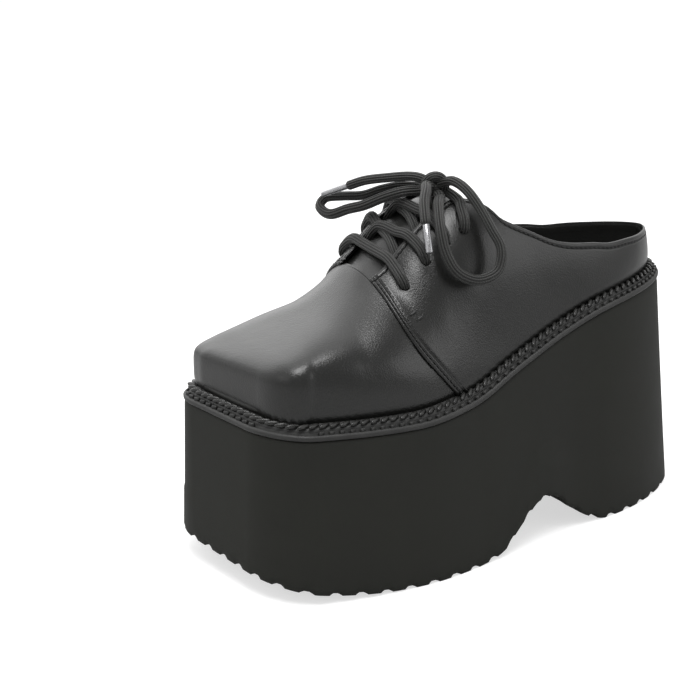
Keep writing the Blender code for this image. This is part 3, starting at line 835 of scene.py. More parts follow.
    def _edge(self, side: float, count: int = 1800) -> np.ndarray:
        """Welt edge of one side in plan, from the toe's middle to the heel's middle.

        Args:
            side: 1 for the outer side, -1 for the inner.
            count: Points along it.

        Returns:
            Plan points and outward normals, four columns.
        """
        s = self.length * (1.0 - np.cos(np.linspace(0.0, math.pi, count))) / 2.0
        share = s / self.length
        outer = self.ball_width * self.read(self.plan, 1, share)
        inner = self.ball_width * self.read(self.plan, 2, share)
        back = np.clip((s - self.length + self.heel_round) / self.heel_round, 0.0, 1.0)
        cap = (1.0 - back**self.heel_power) ** (1.0 / self.heel_power)
        middle = (outer - inner) / 2.0
        front = np.clip(self.toe_corner - s, 0.0, self.toe_corner)
        half = cap * (outer + inner) / 2.0
        corner = self.toe_corner - np.sqrt(self.toe_corner**2 - front**2)
        half = np.where(back > 0.0, half, half - corner)
        x = np.concatenate(([middle[0]], middle + side * half))
        y = np.concatenate(([0.0], s)) - self.length / 2.0
        slant = np.clip(1.0 - (y + self.length / 2.0) / self.toe_slant_length, 0.0, 1.0)
        y = y + self.toe_slant * (x + self.ball_width * self.plan[0][2]) * slant
        line = resample(np.column_stack((x, y)), np.linspace(0.0, 1.0, count))
        ahead = np.gradient(line, axis=0)
        normal = side * np.column_stack((ahead[:, 1], -ahead[:, 0]))
        normal /= np.linalg.norm(normal, axis=1)[:, None]
        normal[0] = normal[1]
        normal[-1] = (0.0, 1.0)
        return np.column_stack((line, normal))

    def edge_at(self, share: float, side: Side) -> tuple[np.ndarray, np.ndarray]:
        """Plan point and outward normal at a share of the way round one side.

        Args:
            share: 0 at the toe's middle, 1 at the heel's.
            side: Which side.

        Returns:
            The point and the normal.
        """
        rows = self.edges[side]
        at = np.array([share]) * (len(rows) - 1)
        row = np.array([np.interp(at, np.arange(len(rows)), rows[:, k])[0] for k in range(4)])
        return row[:2], row[2:] / np.linalg.norm(row[2:])

    @staticmethod
    def corner(normal: np.ndarray) -> float:
        """How much a place with this outward normal belongs to a toe corner, 0 to 1."""
        return max(0.0, -2.0 * normal[1] * abs(normal[0])) ** 3

    def half_round(self) -> float:
        """Length of the welt's edge along its outer side."""
        return run_length(self.edges[Side.OUTER][:, :2])

    def rib(self, share: float, side: Side, whole: bool = False, samples: int = 220) -> np.ndarray:
        """One rib of the upper, from the welt up to the ridge, the facing or the collar.

        Args:
            share: Where it starts, as a share of the way round one side.
            side: Which side.
            whole: Run on to the ridge, as on the bare last.
            samples: Points along it.

        Returns:
            The rib's points.
        """
        place, normal = self.edge_at(share, side)
        base = place - normal * (self.welt_shelf - self.toe_push * self.corner(normal))
        top_share = float(self.read(self.ribs, 1, share))
        top_y = (top_share - 0.5) * self.length
        ridge_x = self.ball_width * float(self.read(self.last, 2, top_share))
        power = float(self.read(self.last, 3 if side is Side.OUTER else 4, top_share))
        fade = (self.toe_edge_gone - share) / (self.toe_edge_gone - self.toe_edge_full)
        power += (self.toe_edge - power) * np.clip(fade, 0.0, 1.0) ** self.toe_edge_fall
        angle = np.linspace(0.0, math.pi / 2.0, samples)
        up = np.sin(angle) ** (2.0 / power)
        over = 1.0 - np.abs(np.cos(angle)) ** (2.0 / power)
        lead = 1.0 - (1.0 - up) ** self.lead_power
        rise = np.clip((share - self.lead_in[0]) / self.lead_in[1], 0.0, 1.0)
        fall = np.clip((share - self.lead_out[0]) / self.lead_out[1], 0.0, 1.0)
        blend = rise * rise * (3 - 2 * rise) * (1.0 - fall * fall * (3 - 2 * fall))
        along = over + (lead - over) * blend
        x = base[0] + (ridge_x - base[0]) * over
        y = base[1] + (top_y - base[1]) * along
        at = self.share_of(y)
        z = self.upper_base(y) + self.instep * self.read(self.last, 1, at) * up
        line = np.column_stack((x, y, z))
        if whole:
            return line
        middle = self.ball_width * self.lace_line
        inside = side.value * (x - middle) - self.throat_gap
        under = self.upper_base(y) + self.instep * self.read(self.collar, 1, at) - z
        keep = np.where(at > self.throat_end, under, np.minimum(inside, under))
        keep = np.where(at < self.collar[0][0], inside, keep)
        gone = np.nonzero(keep < 0.0)[0]
        if len(gone) == 0:
            return line
        stop = gone[0]
        part = keep[stop - 1] / (keep[stop - 1] - keep[stop])
        end = line[stop - 1] + part * (line[stop] - line[stop - 1])
        return np.vstack((line[:stop], end))

    def to_frame(self, points: np.ndarray) -> np.ndarray:
        """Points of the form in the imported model's frame."""
        moved = np.array(points, dtype=float)
        moved[..., 0] -= self.centre[0]
        moved[..., 1] -= self.centre[1]
        return moved

    def tree(self) -> BVHTree:
        """The whole last as a search tree, in the form's own place."""
        if self._tree is None:
            shares = np.linspace(0.0, 1.0, 90)
            rows = 60
            lines = [self.rib(s, Side.OUTER, True) for s in shares]
            lines += [self.rib(s, Side.INNER, True) for s in shares[-2:0:-1]]
            points = np.array([resample(line, np.linspace(0.0, 1.0, rows)) for line in lines])
            count = len(lines)
            starts = [
                (i * rows + k, (i + 1) % count * rows + k)
                for i in range(count)
                for k in range(rows - 1)
            ]
            faces = [(a, b, b + 1, a + 1) for a, b in starts]
            self._tree = BVHTree.FromPolygons([Vector(p) for p in points.reshape(-1, 3)], faces)
        return self._tree

    def height(self, x: float, y: float) -> float:
        """Height of the last over a place in plan."""
        hit = self.tree().ray_cast(Vector((x, y, 1.0)), Vector((0.0, 0.0, -1.0)))
        return hit[0].z

    def on_last(
        self, x: float, y: float, lift: float = 0.0, step: float = 0.0015
    ) -> tuple[Vector, Vector]:
        """Point over the last and the last's normal there.

        Args:
            x: Place across.
            y: Place along.
            lift: Height above the leather, along the normal.
            step: Distance over which the slope is read.

        Returns:
            The point and the normal.
        """
        slope_x = (self.height(x + step, y) - self.height(x - step, y)) / (2.0 * step)
        slope_y = (self.height(x, y + step) - self.height(x, y - step)) / (2.0 * step)
        normal = Vector((-slope_x, -slope_y, 1.0)).normalized()
        return Vector((x, y, self.height(x, y))) + normal * lift, normal

    def behind_facing(self, share: float, side: Side, run: float, step: float = 0.0005) -> float:
        """Place across that lies a run of leather behind the facing's edge.

        Args:
            share: Share of length.
            side: Which side.
            run: Distance along the leather; below zero it lies in the gap.
            step: Length of each step.

        Returns:
            The place across.
        """
        y = (share - 0.5) * self.length
        x = self.ball_width * self.lace_line + side.value * self.throat_gap
        if run < 0.0:
            return x + side.value * run
        while run > 0.0:
            run -= math.hypot(step, self.height(x + side.value * step, y) - self.height(x, y))
            x += side.value * step
        return x

    def on_facing(
        self, share: float, side: Side, run: float, lift: float = 0.0
    ) -> tuple[Vector, Vector]:
        """Point over the last a run of leather behind the facing's edge, and its normal."""
        x = self.behind_facing(share, side, run)
        return self.on_last(x, (share - 0.5) * self.length, lift)


# ---- Platform ----


@dataclass
class Platform:
    """Moulded block with its lugged tread edge and grooved underside."""

    form: ShoeForm
    around: int = 600
    lugs: int = 50
    lug_depth: float = 0.0010
    lug_inset: float = 0.0008
    lug_share: float = 0.45
    edge_height: float = 0.0030
    groove_pitch: float = 0.0130
    groove_depth: float = 0.0022
    across: int = 24

    def _loop(self) -> tuple[np.ndarray, np.ndarray]:
        """Closed edge of the welt in plan with its normals.

        Returns:
            Points and normals, the outer side first.
        """
        half = self.around // 2
        shares = np.linspace(0.0, 1.0, half + 1)
        outer = [self.form.edge_at(s, Side.OUTER) for s in shares]
        inner = [self.form.edge_at(s, Side.INNER) for s in shares[-2:0:-1]]
        both = outer + inner
        return np.array([p for p, _ in both]), np.array([n for _, n in both])

    def build(self, finishes: Finishes) -> None:
        """Model the block and dress it.

        Args:
            finishes: The shoe's finishes.
        """
        form = self.form
        loop, normal = self._loop()
        back = np.clip(normal[:, 1], 0.0, 1.0)
        front = np.clip(-normal[:, 1], 0.0, 1.0)
        flare = form.flare_side * normal[:, 0] ** 2 + form.flare_heel * back**2
        flare = flare + form.flare_front * front**2
        top = form.block_top(loop[:, 1])
        foot_y = (loop + normal * flare[:, None])[:, 1]
        low = form.tread(foot_y)
        turn = np.arange(len(loop)) * self.lugs / len(loop)
        wave = np.sin(2.0 * math.pi * turn) - self.lug_share
        tooth = 0.5 + 0.5 * np.clip(3.0 * wave, -1.0, 1.0)
        rings = []

        def ring(offset: np.ndarray, height: np.ndarray) -> None:
            """Add one ring of the side.

            Args:
                offset: How far it lies outside the welt's line, all round or at each point.
                height: Its height at each point.
            """
            plan = loop + normal * np.broadcast_to(offset, (len(loop),))[:, None]
            rings.append(np.column_stack((plan, height)))

        core = loop + normal * (flare - 0.0100)[:, None]
        core_low = form.tread(core[:, 1]) + 0.0004
        rings.append(np.column_stack((core, core_low)))
        deep, far = self.lug_depth * tooth, self.lug_inset * tooth
        ring(flare - 0.0050, low + 0.0002 + deep)
        ring(flare - self.lug_inset - far, low + deep)
        ring(flare - 0.0006 - 0.8 * far, low + 0.0005 + deep)
        ring(flare - 0.0001 - 0.4 * far, low + 0.0016 + 0.7 * deep)
        for step in (self.edge_height, 0.006, 0.012, 0.022):
            ring(flare * (1.0 - step / top), low + step)
        for share in np.linspace(0.35, 0.97, 14):
            mid = low + (top - low) * share
            ring(flare * (1.0 - mid / top), mid)
        for offset, drop in ((-0.0002, 0.0004), (-0.0008, 0.0), (-0.0060, 0.0)):
            ring(np.array([offset]), top - drop)
        points = form.to_frame(np.array(rings))
        closed = np.concatenate((points, points[:, :1]), axis=1)
        side = grid_sheet("platform_side", closed)
        weld(side)
        floor = self._underside(form.to_frame(np.column_stack((core, core_low))))
        block = join("platform_block", [side, floor])
        weld(block)
        smooth_shade(block, 0.9)
        dress(block, "platform_foam", ["platform_sole"], finishes.foam)

    def _underside(self, ring: np.ndarray) -> bpy.types.Object:
        """Underside inside the tread edge, laid across as strips with shallow tread grooves.

        Args:
            ring: Its closed outline.

        Returns:
            The sheet.
        """
        count = len(ring)
        t = np.linspace(0.0, 1.0, self.across + 1)
        pairs = [(ring[i], ring[(count - i) % count]) for i in range(count // 2 + 1)]
        points = np.array([a + (b - a) * t[:, None] for a, b in pairs])
        inner = np.minimum(t, np.linspace(1.0, 0.0, self.across + 1))
        turn = 2.0 * math.pi * points[..., 1] / self.groove_pitch
        wave = np.clip(3.0 * np.sin(turn) - 1.6, 0.0, 1.0)
        rise = self.groove_depth * wave
        points[..., 2] += rise * np.clip(inner * 14.0 - 0.6, 0.0, 1.0)[None, :]
        return grid_sheet("platform_floor", points)


# ---- Welt ----


@dataclass
class Welt:
    """Strip round the upper: groove, stitched rope, notched line and smooth lip."""

    form: ShoeForm
    pitch: float = 0.0049
    rope_place: float = 0.0045
    rope_push: float = 0.0013
    toothless: float = 0.30
    rope_height: float = 0.0060
    tooth_place: float = 0.0015
    tooth_height: float = 0.0035
    # A strand's half sizes as shares of the pitch, a tooth's size, and how far both are turned
    strand: Point = (0.74, 0.23, 0.27)
    strand_twist: float = 0.60
    tooth: Point = (0.56 * 0.0049, 0.0017, 0.0018)
    tooth_twist: float = 0.45

    def _walk(self, offset: float, step: float, push: float) -> list[tuple[np.ndarray, np.ndarray]]:
        """Even steps round the welt at an offset from its edge.

        Args:
            offset: Distance inwards from the edge.
            step: About how far apart.
            push: How much less that distance is at the toe corners.

        Returns:
            Plan points with outward normals.
        """
        dense = []
        for side in (Side.OUTER, Side.INNER):
            rows = self.form.edges[side]
            inwards = offset - push * np.array([[self.form.corner(n)] for n in rows[:, 2:]])
            line = np.column_stack((rows[:, :2] - rows[:, 2:] * inwards, rows[:, 2:]))
            dense.append(line if side is Side.OUTER else line[::-1])
        both = np.vstack((dense[0], dense[1][1:]))
        run = running(both[:, :2])
        at = np.linspace(0.0, run[-1], int(round(run[-1] / step)), endpoint=False)
        rows = read_off(at, run, both)
        return [(row[:2], row[2:] / np.linalg.norm(row[2:])) for row in rows]

    def _strip(self) -> bpy.types.Object:
        """The strip itself, swept round the shoe.

        Returns:
            The piece.
        """
        section = (
            (-0.0120, 0.0003), (0.0001, 0.0003), (0.0004, 0.0006),
            (0.0006, 0.0012), (0.0006, 0.0019),
            (0.0003, 0.0025), (-0.0002, 0.0029), (-0.0008, 0.0030), (-0.0010, 0.0026),
            (-0.0011, 0.0020), (-0.0017, 0.0021), (-0.0022, 0.0030), (-0.0025, 0.0036),
            (-0.0029, 0.0037), (-0.0032, 0.0046), (-0.0038, 0.0052), (-0.0046, 0.0055),
            (-0.0053, 0.0054), (-0.0057, 0.0051), (-0.0062, 0.0056), (-0.0070, 0.0064),
            (-0.0120, 0.0064),
        )
        shares = np.linspace(0.0, 1.0, 181)
        steps = [self.form.edge_at(s, Side.OUTER) for s in shares]
        steps += [self.form.edge_at(s, Side.INNER) for s in shares[-2::-1]]
        rings = []
        for offset, rise in section + (section[0],):
            plan = np.array([p + n * offset for p, n in steps])
            rings.append(np.column_stack((plan, self.form.block_top(plan[:, 1]) + rise)))
        item = grid_sheet("welt_strip", self.form.to_frame(np.array(rings)))
        weld(item)
        smooth_shade(item, 0.8)
        return item

    def _frames(
        self,
        offset: float,
        rise: float,
        step: float,
        twist: float,
        push: float = 0.0,
        most: float = 1.0,
    ) -> list[Matrix]:
        """Frames round the welt for what repeats on it.

        Args:
            offset: Distance inwards from the edge.
            rise: Height above the block.
            step: Pitch.
            twist: Turn about the vertical, in radians.
            push: How much less the offset is at the toe corners.
            most: Leave out what belongs to a toe corner more than this.

        Returns:
            The frames, X along the welt and Z up.
        """
        frames = []
        lifted = []
        for plan, normal in self._walk(offset, step, push):
            z = float(self.form.block_top(plan[1])) + rise
            place = self.form.to_frame(np.array((*plan, z)))
            lifted.append((Vector(place), Vector((*normal, 0.0))))
        count = len(lifted)
        for i, (place, normal) in enumerate(lifted):
            if self.form.corner(normal) > most:
                continue
            ahead = lifted[(i + 1) % count][0] - lifted[i - 1][0]
            up = normal.cross(ahead).normalized()
            if up.z < 0.0:
                up = -up
            frames.append(frame_of(place, ahead, up) @ Matrix.Rotation(twist, 4, "Z"))
        return frames

    def _rope(self) -> bpy.types.Object:
        """Twisted rope: one slanted, rounded strand and its copies.

        Returns:
            The piece.
        """
        strand = primitive(
            "rope_strand",
            bpy.ops.mesh.primitive_uv_sphere_add,
            segments=12,
            ring_count=8,
            radius=1.0,
        )
        strand.scale = tuple(self.pitch * share for share in self.strand)
        place_down(strand)
        frames = self._frames(
            self.rope_place, self.rope_height, self.pitch, self.strand_twist, self.rope_push
        )
        rope = repeat("welt_rope", strand, frames)
        smooth_shade(rope, 1.2)
        return rope

    def _teeth(self) -> bpy.types.Object:
        """Row of small teeth between rope and lip.

        Returns:
            The piece.
        """
        tooth = primitive("welt_tooth", bpy.ops.mesh.primitive_cube_add, size=1.0)
        tooth.scale = self.tooth
        place_down(tooth)
        apply_modifier(tooth, "BEVEL", width=0.0004, segments=2)
        frames = self._frames(
            self.tooth_place, self.tooth_height, self.pitch, self.tooth_twist, most=self.toothless
        )
        teeth = repeat("welt_teeth", tooth, frames)
        smooth_shade(teeth, 0.9)
        return teeth

    def build(self, finishes: Finishes) -> None:
        """Model the welt and dress it.

        Args:
            finishes: The shoe's finishes.
        """
        dress(self._strip(), "welt_rubber", ["welt"], finishes.rubber)
        dress(self._rope(), "welt_rubber", [], finishes.rope)
        dress(self._teeth(), "welt_rubber", [], finishes.rubber)


# ---- Upper ----


@dataclass
class Upper:
    """Vamp and quarters with their folded edges, stitch rows and punched eyelets."""

    form: ShoeForm
    wall: float = 0.0018
    step: float = 0.0014
    fold: float = 0.0010
    groove_place: float = 0.0030
    groove_depth: float = 0.00060
    feather: float = 0.0007
    feather_height: float = 0.0060
    eyelet_radius: float = 0.0021
    eyelet_set: float = 0.0170
    eyelets: tuple[float, ...] = (0.352, 0.396, 0.437, 0.474)
    tuck: float = 0.006
    seam_rows: tuple[float, ...] = (0.0019, 0.0040)
    stitch: Point = (0.00115, 0.00030, 0.00028)
    edge_pitch: float = 0.0030
    seam_pitch: float = 0.0027
    # Where rows and ribs crowd, in millimetres from an edge
    near_top: tuple[float, ...] = (
        0.0, 0.25, 0.5, 0.8, 1.2, 1.7, 2.2, 2.6, 3.0, 3.4, 3.8, 4.4, 5.2, 6.4
    )
    near_seam: tuple[float, ...] = (0.0, 0.25, 0.5, 0.8, 1.3, 1.9, 2.4, 2.8, 3.2, 3.8, 4.6, 5.8)
    # Bar tacks behind the seam: share of length and run behind the facing, at both ends
    tacks: tuple[Table, ...] = (
        ((0.3365, 0.029), (0.3571, 0.0305)),
        ((0.3477, 0.0329), (0.3639, 0.0342)),
    )

    def _rows(self, line: np.ndarray, rows: int, fine: bool) -> tuple[np.ndarray, np.ndarray]:
        """Points up one rib, closer together under its top edge if asked.

        Args:
            line: The rib.
            rows: How many.
            fine: Crowd the rows near the top.

        Returns:
            The points and their distances from the top end.
        """
        length = run_length(line)
        if fine:
            near = np.array(self.near_top) / 1000.0
            far = np.linspace(near[-1], length, rows - len(near) + 1)[1:]
            below = np.concatenate((near, far))[::-1]
        else:
            below = np.linspace(length, 0.0, rows)
        return resample(line, 1.0 - below / length), below

    def _sheet(self, ribs: Sequence[tuple[float, Side]], rows: int, fine: bool,
               whole: bool = False) -> tuple[np.ndarray, np.ndarray]:
        """Sheet over the last.

        Args:
            ribs: Where its ribs start.
            rows: Points up each rib.
            fine: Crowd the rows near the top edge.
            whole: Run every rib on to the ridge.

        Returns:
            Points of rows by ribs by 3, and the distances below the top edge.
        """
        points, below = [], []
        for share, side in ribs:
            row, under = self._rows(self.form.rib(share, side, whole), rows, fine)
            points.append(row)
            below.append(under)
        return np.swapaxes(np.array(points), 0, 1), np.swapaxes(np.array(below), 0, 1)

    def _feathered(self, points: np.ndarray, normal: np.ndarray) -> np.ndarray:
        """Sheet whose foot draws in towards the welt.

        Args:
            points: The sheet, its lowest row first.
            normal: Its outward normals.

        Returns:
            The changed sheet.
        """
        steps = np.linalg.norm(np.diff(points, axis=0), axis=2)
        run = np.concatenate((np.zeros((1, points.shape[1])), np.cumsum(steps, axis=0)))
        draw = self.feather * np.clip(1.0 - run / self.feather_height, 0.0, 1.0) ** 2
        return points - normal * draw[..., None]

    @staticmethod
    def _normals(points: np.ndarray) -> np.ndarray:
        """Outward normals of a sheet of rows by ribs.

        Args:
            points: The sheet.

        Returns:
            The normals.
        """
        up = np.gradient(points, axis=0)
        along = np.gradient(points, axis=1)
        normal = np.cross(along, up)
        size = np.linalg.norm(normal, axis=2, keepdims=True)
        normal = normal / np.maximum(size, 1e-12)
        middle = normal[: len(normal) // 2]
        centre = points.mean(axis=(0, 1))
        if np.sum(middle * (points[: len(normal) // 2] - centre)) < 0.0:
            normal = -normal
        return normal

    def _even_normals(self, ribs: Sequence[tuple[float, Side]], rows: int) -> np.ndarray:
        """Normals of the quarters at their ribs, read from evenly spaced ribs.

        Args:
            ribs: The ribs, outer side first, however close together.
            rows: Points up each rib.

        Returns:
            The normals, rows by ribs by 3.
        """
        seam = self.form.seam
        even = np.linspace(seam, 2.0 - seam, 260)
        chain = [(c, Side.OUTER) if c <= 1.0 else (2.0 - c, Side.INNER) for c in even]
        normal = self._normals(self._sheet(chain, rows, True)[0])
        at = np.array([s if side is Side.OUTER else 2.0 - s for s, side in ribs])
        read = np.array(
            [[np.interp(at, even, normal[row, :, k]) for k in range(3)] for row in range(rows)]
        )
        read = np.swapaxes(read, 1, 2)
        return read / np.linalg.norm(read, axis=2, keepdims=True)

    def _vamp(self) -> bpy.types.Object:
        """Vamp: from seam to seam round the toe, one piece with its ridge closed.

        Returns:
            The piece.
        """
        form = self.form
        behind = np.linspace(form.seam, form.seam + self.tuck, 4)[1:]
        half = np.concatenate((np.linspace(0.0, form.seam, 96), behind))
        ribs = [(s, Side.INNER) for s in half[:0:-1]] + [(s, Side.OUTER) for s in half]
        points, _ = self._sheet(ribs, 90, False, True)
        points = self._waves(points)
        normal = self._normals(points)
        points = self._feathered(points, normal)
        under = np.array([max(0.0, s - form.seam) / self.tuck for s, _ in ribs])
        points = points - normal * (0.0007 * np.clip(under * 5.0, 0.0, 1.0))[None, :, None]
        item = grid_sheet("vamp", form.to_frame(points))
        weld(item, 5e-5)
        return wall(item, self.wall)

    def _waves(self, points: np.ndarray) -> np.ndarray:
        """Gentle, hand-made waves of the vamp.

        Args:
            points: The sheet, rows by ribs by 3.

        Returns:
            The changed sheet.
        """
        x, y = points[..., 0], points[..., 1]
        moved = points.copy()
        wave = np.sin(x / 0.0145 + 1.2) * np.sin(y / 0.0210 + 0.4)
        high = np.linspace(0.0, 1.0, len(points))[:, None]
        fade = np.clip(high * 3.0, 0.0, 1.0) * np.clip((y + 0.118) / 0.02, 0.0, 1.0)
        moved[..., 2] += 0.00022 * wave * fade
        return moved

    def _quarter_columns(self) -> list[tuple[float, Side]]:
        """Ribs of the quarters from the outer seam round the heel to the inner seam.

        Returns:
            Share and side of each rib.
        """
        seam = self.form.seam
        reach = self.form.half_round()
        near = np.array(self.near_seam) / 1000.0 / reach
        far = np.linspace(seam + near[-1], 1.0, 120)[1:]
        half = np.concatenate((seam + near, far))
        return [(s, Side.OUTER) for s in half] + [(s, Side.INNER) for s in half[-2::-1]]

    def _quarters(self) -> bpy.types.Object:
        """Quarters: one sheet round the heel, proud of the vamp, open at collar and facings.

        Returns:
            The piece.
        """
        form = self.form
        ribs = self._quarter_columns()
        points, below = self._sheet(ribs, 70, True)
        reach = form.half_round()
        from_seam = np.array([(s - form.seam) * reach * 0.85 for s, _ in ribs])[None, :]
        normal = self._even_normals(ribs, 70)
        relief = self.step * np.ones_like(below)
        for distance in (below, np.broadcast_to(from_seam, below.shape)):
            rest = np.clip(self.fold - distance, 0.0, self.fold)
            relief -= self.fold - np.sqrt(np.clip(self.fold**2 - rest**2, 0.0, None))
        relief -= self.groove_depth * np.exp(-(((below - self.groove_place) / 0.00045) ** 2))
        for place in self.seam_rows:
            relief -= 0.8 * self.groove_depth * np.exp(-(((from_seam - place) / 0.0004) ** 2))
        points = self._feathered(points, normal) + normal * relief[..., None]
        item = grid_sheet("quarters", form.to_frame(points))
        return wall(item, self.step + self.wall - self.fold * 0.5)

    def _punch(self, item: bpy.types.Object) -> None:
        """Punch the eyelets through the facings.

        Args:
            item: The quarters.
        """
        punches = []
        for share in self.eyelets:
            for side in Side:
                place, normal = self.form.on_facing(share, side, self.eyelet_set)
                tool = primitive(
                    "punch",
                    bpy.ops.mesh.primitive_cylinder_add,
                    vertices=28,
                    radius=self.eyelet_radius,
                    depth=0.012,
                )
                tool.matrix_world = Matrix.Translation(
                    Vector(self.form.to_frame(np.array(place)))
                ) @ normal.to_track_quat("Z", "Y").to_matrix().to_4x4()
                place_down(tool)
                punches.append(tool)
        cutter = join("punches", punches)
        apply_modifier(item, "BOOLEAN", operation="DIFFERENCE", solver="EXACT", object=cutter)
        bpy.data.objects.remove(cutter, do_unlink=True)

    def _stitch_frames(self, line: np.ndarray, normals: np.ndarray, pitch: float) -> list[Matrix]:
        """Frames along a stitch line.

        Args:
            line: Its points.
            normals: The leather's normals there.
            pitch: Stitch length with its gap.

        Returns:
            A frame for each stitch.
        """
        count = max(2, int(round(run_length(line) / pitch)))
        shares = (np.arange(count) + 0.5) / count
        places = resample(line, shares)
        before, after = (np.clip(shares + part / count, 0, 1) for part in (-0.2, 0.2))
        ahead = resample(line, after) - resample(line, before)
        run = running(line)
        ups = read_off(shares * run[-1], run, normals)
        return [frame_of(Vector(p), Vector(a), Vector(u)) for p, a, u in zip(places, ahead, ups)]

    def _stitches(self) -> bpy.types.Object:
        """All stitch rows of the quarters: along the top edge and two beside the seam.

        Returns:
            The piece.
        """
        form = self.form
        ribs = self._quarter_columns()
        dense, below = self._sheet(ribs, 110, True)
        normal = self._even_normals(ribs, 110)
        lift = self.step - 0.00005
        surface = form.to_frame(dense + normal * lift)
        frames: list[Matrix] = []
        reach = form.half_round()
        row = int(np.argmin(np.abs(below[:, len(ribs) // 2] - self.groove_place)))
        inset = [i for i, (s, _) in enumerate(ribs) if (s - form.seam) * reach > 0.0012]
        frames += self._stitch_frames(surface[row, inset], normal[row, inset], self.edge_pitch)
        for distance in self.seam_rows:
            for side in (0, 1):
                order = range(len(ribs)) if side == 0 else range(len(ribs) - 1, -1, -1)
                column = next(
                    i for i in order if (ribs[i][0] - form.seam) * reach * 0.85 >= distance
                )
                rows = below[:, column] > 0.0040
                line, facing = surface[rows, column], normal[rows, column]
                frames += self._stitch_frames(line, facing, self.seam_pitch)
        for tack in self.tacks:
            for side in Side:
                ends = []
                for share, behind in tack:
                    place, up = form.on_facing(share, side, behind, self.step + 0.0001)
                    ends.append(Vector(form.to_frame(np.array(place))))
                turned = frame_of((ends[0] + ends[1]) / 2.0, ends[1] - ends[0], up)
                frames.append(turned @ Matrix.Diagonal((2.3, 2.3, 2.2, 1.0)))
        stitch = primitive(
            "stitch", bpy.ops.mesh.primitive_uv_sphere_add, segments=8, ring_count=6, radius=1.0
        )
        stitch.scale = self.stitch
        place_down(stitch)
        item = repeat("stitch_rows", stitch, frames)
        smooth_shade(item, 1.2)
        return item

    def build(self, finishes: Finishes) -> None:
        """Model the upper and dress it.

        Args:
            finishes: The shoe's finishes.
        """
        quarters = self._quarters()
        self._punch(quarters)
        smooth_shade(quarters, 0.9)
        for item in (quarters, self._vamp()):
            dress(item, "black_leather", ["upper"], finishes.leather, finishes.lining)
        dress(self._stitches(), "black_leather", [], finishes.thread)


# ---- Tongue and insole ----


@dataclass
class Tongue:
    """Tongue under the facings, rounded at its top."""

    form: ShoeForm
    sink: float = 0.0022
    thickness: float = 0.0022
    half_width: float = 0.0250
    taper: float = 0.14
    lead: float = 0.035
    end: float = 0.503
    round_back: float = 0.035

    def build(self, finishes: Finishes) -> None:
        """Model the tongue and dress it.

        Args:
            finishes: The shoe's finishes.
        """
        form = self.form
        start = float(form.read(form.ribs, 1, form.seam)) - self.lead
        middle = form.ball_width * form.lace_line
        rows = []
        for t in np.linspace(0.0, 1.0, 56):
            share = start + (self.end - start) * t
            row = []
            for s in np.linspace(-1.0, 1.0, 41):
                x = middle + s * self.half_width * (1.0 - self.taper * (1.0 - t))
                y = (share - 0.5 - self.round_back * t**4 * s * s) * form.length
                point, normal = form.on_last(x, y)
                edge = min(1.0, (1.0 - abs(s)) * 12.0, (1.0 - t) * 20.0)
                swell = 0.0005 * math.sin(t * 19.0) * (1.0 - s * s)
                row.append(point - normal * (self.sink + 0.0007 * (1.0 - edge) ** 2 - 0.3 * swell))
            rows.append(row)
        points = form.to_frame(np.array([[tuple(p) for p in row] for row in rows]))
        item = wall(grid_sheet("tongue_leather", points), self.thickness)
        dress(item, "black_leather", ["tongue"], finishes.leather, finishes.lining)


@dataclass
class Insole:
    """Insole board under its lining, with a soft rolled edge."""

    form: ShoeForm
    inset: float = 0.0090
    thickness: float = 0.0030
    rolled: float = 0.006
    hollow: float = 0.0012
    along: int = 140
    across: int = 20

    def build(self, finishes: Finishes) -> None:
        """Model the insole and dress it.

        Args:
            finishes: The shoe's finishes.
        """
        form = self.form
        t = np.linspace(0.0, 1.0, self.across + 1)
        rows = []
        for share in np.linspace(0.0, 1.0, self.along):
            pair = []
            for side in (Side.INNER, Side.OUTER):
                place, normal = form.edge_at(float(share), side)
                pair.append(place - normal * self.inset)
            plan = pair[0] + (pair[1] - pair[0]) * t[:, None]
            edge = np.minimum(t, 1.0 - t) * np.linalg.norm(pair[1] - pair[0])
            near = np.clip(1.0 - edge / self.rolled, 0.0, 1.0) ** 2
            dish = self.hollow * np.sin(t * math.pi)
            z = form.upper_base(plan[:, 1]) + self.thickness - 0.0004 - dish * 0.5 + 0.0003 * near
            rows.append(np.column_stack((plan, z)))
        item = grid_sheet("insole_sock", form.to_frame(np.array(rows)))
        weld(item)
        if sum(face.normal.z * face.area for face in item.data.polygons) < 0.0:
            edit_all(item, bpy.ops.mesh.flip_normals)
        apply_modifier(item, "SOLIDIFY", thickness=self.thickness - 0.0006, offset=-1.0)
        smooth_shade(item, 0.8)
        dress(item, "lining", ["insole"], finishes.lining)


# ---- Lace ----


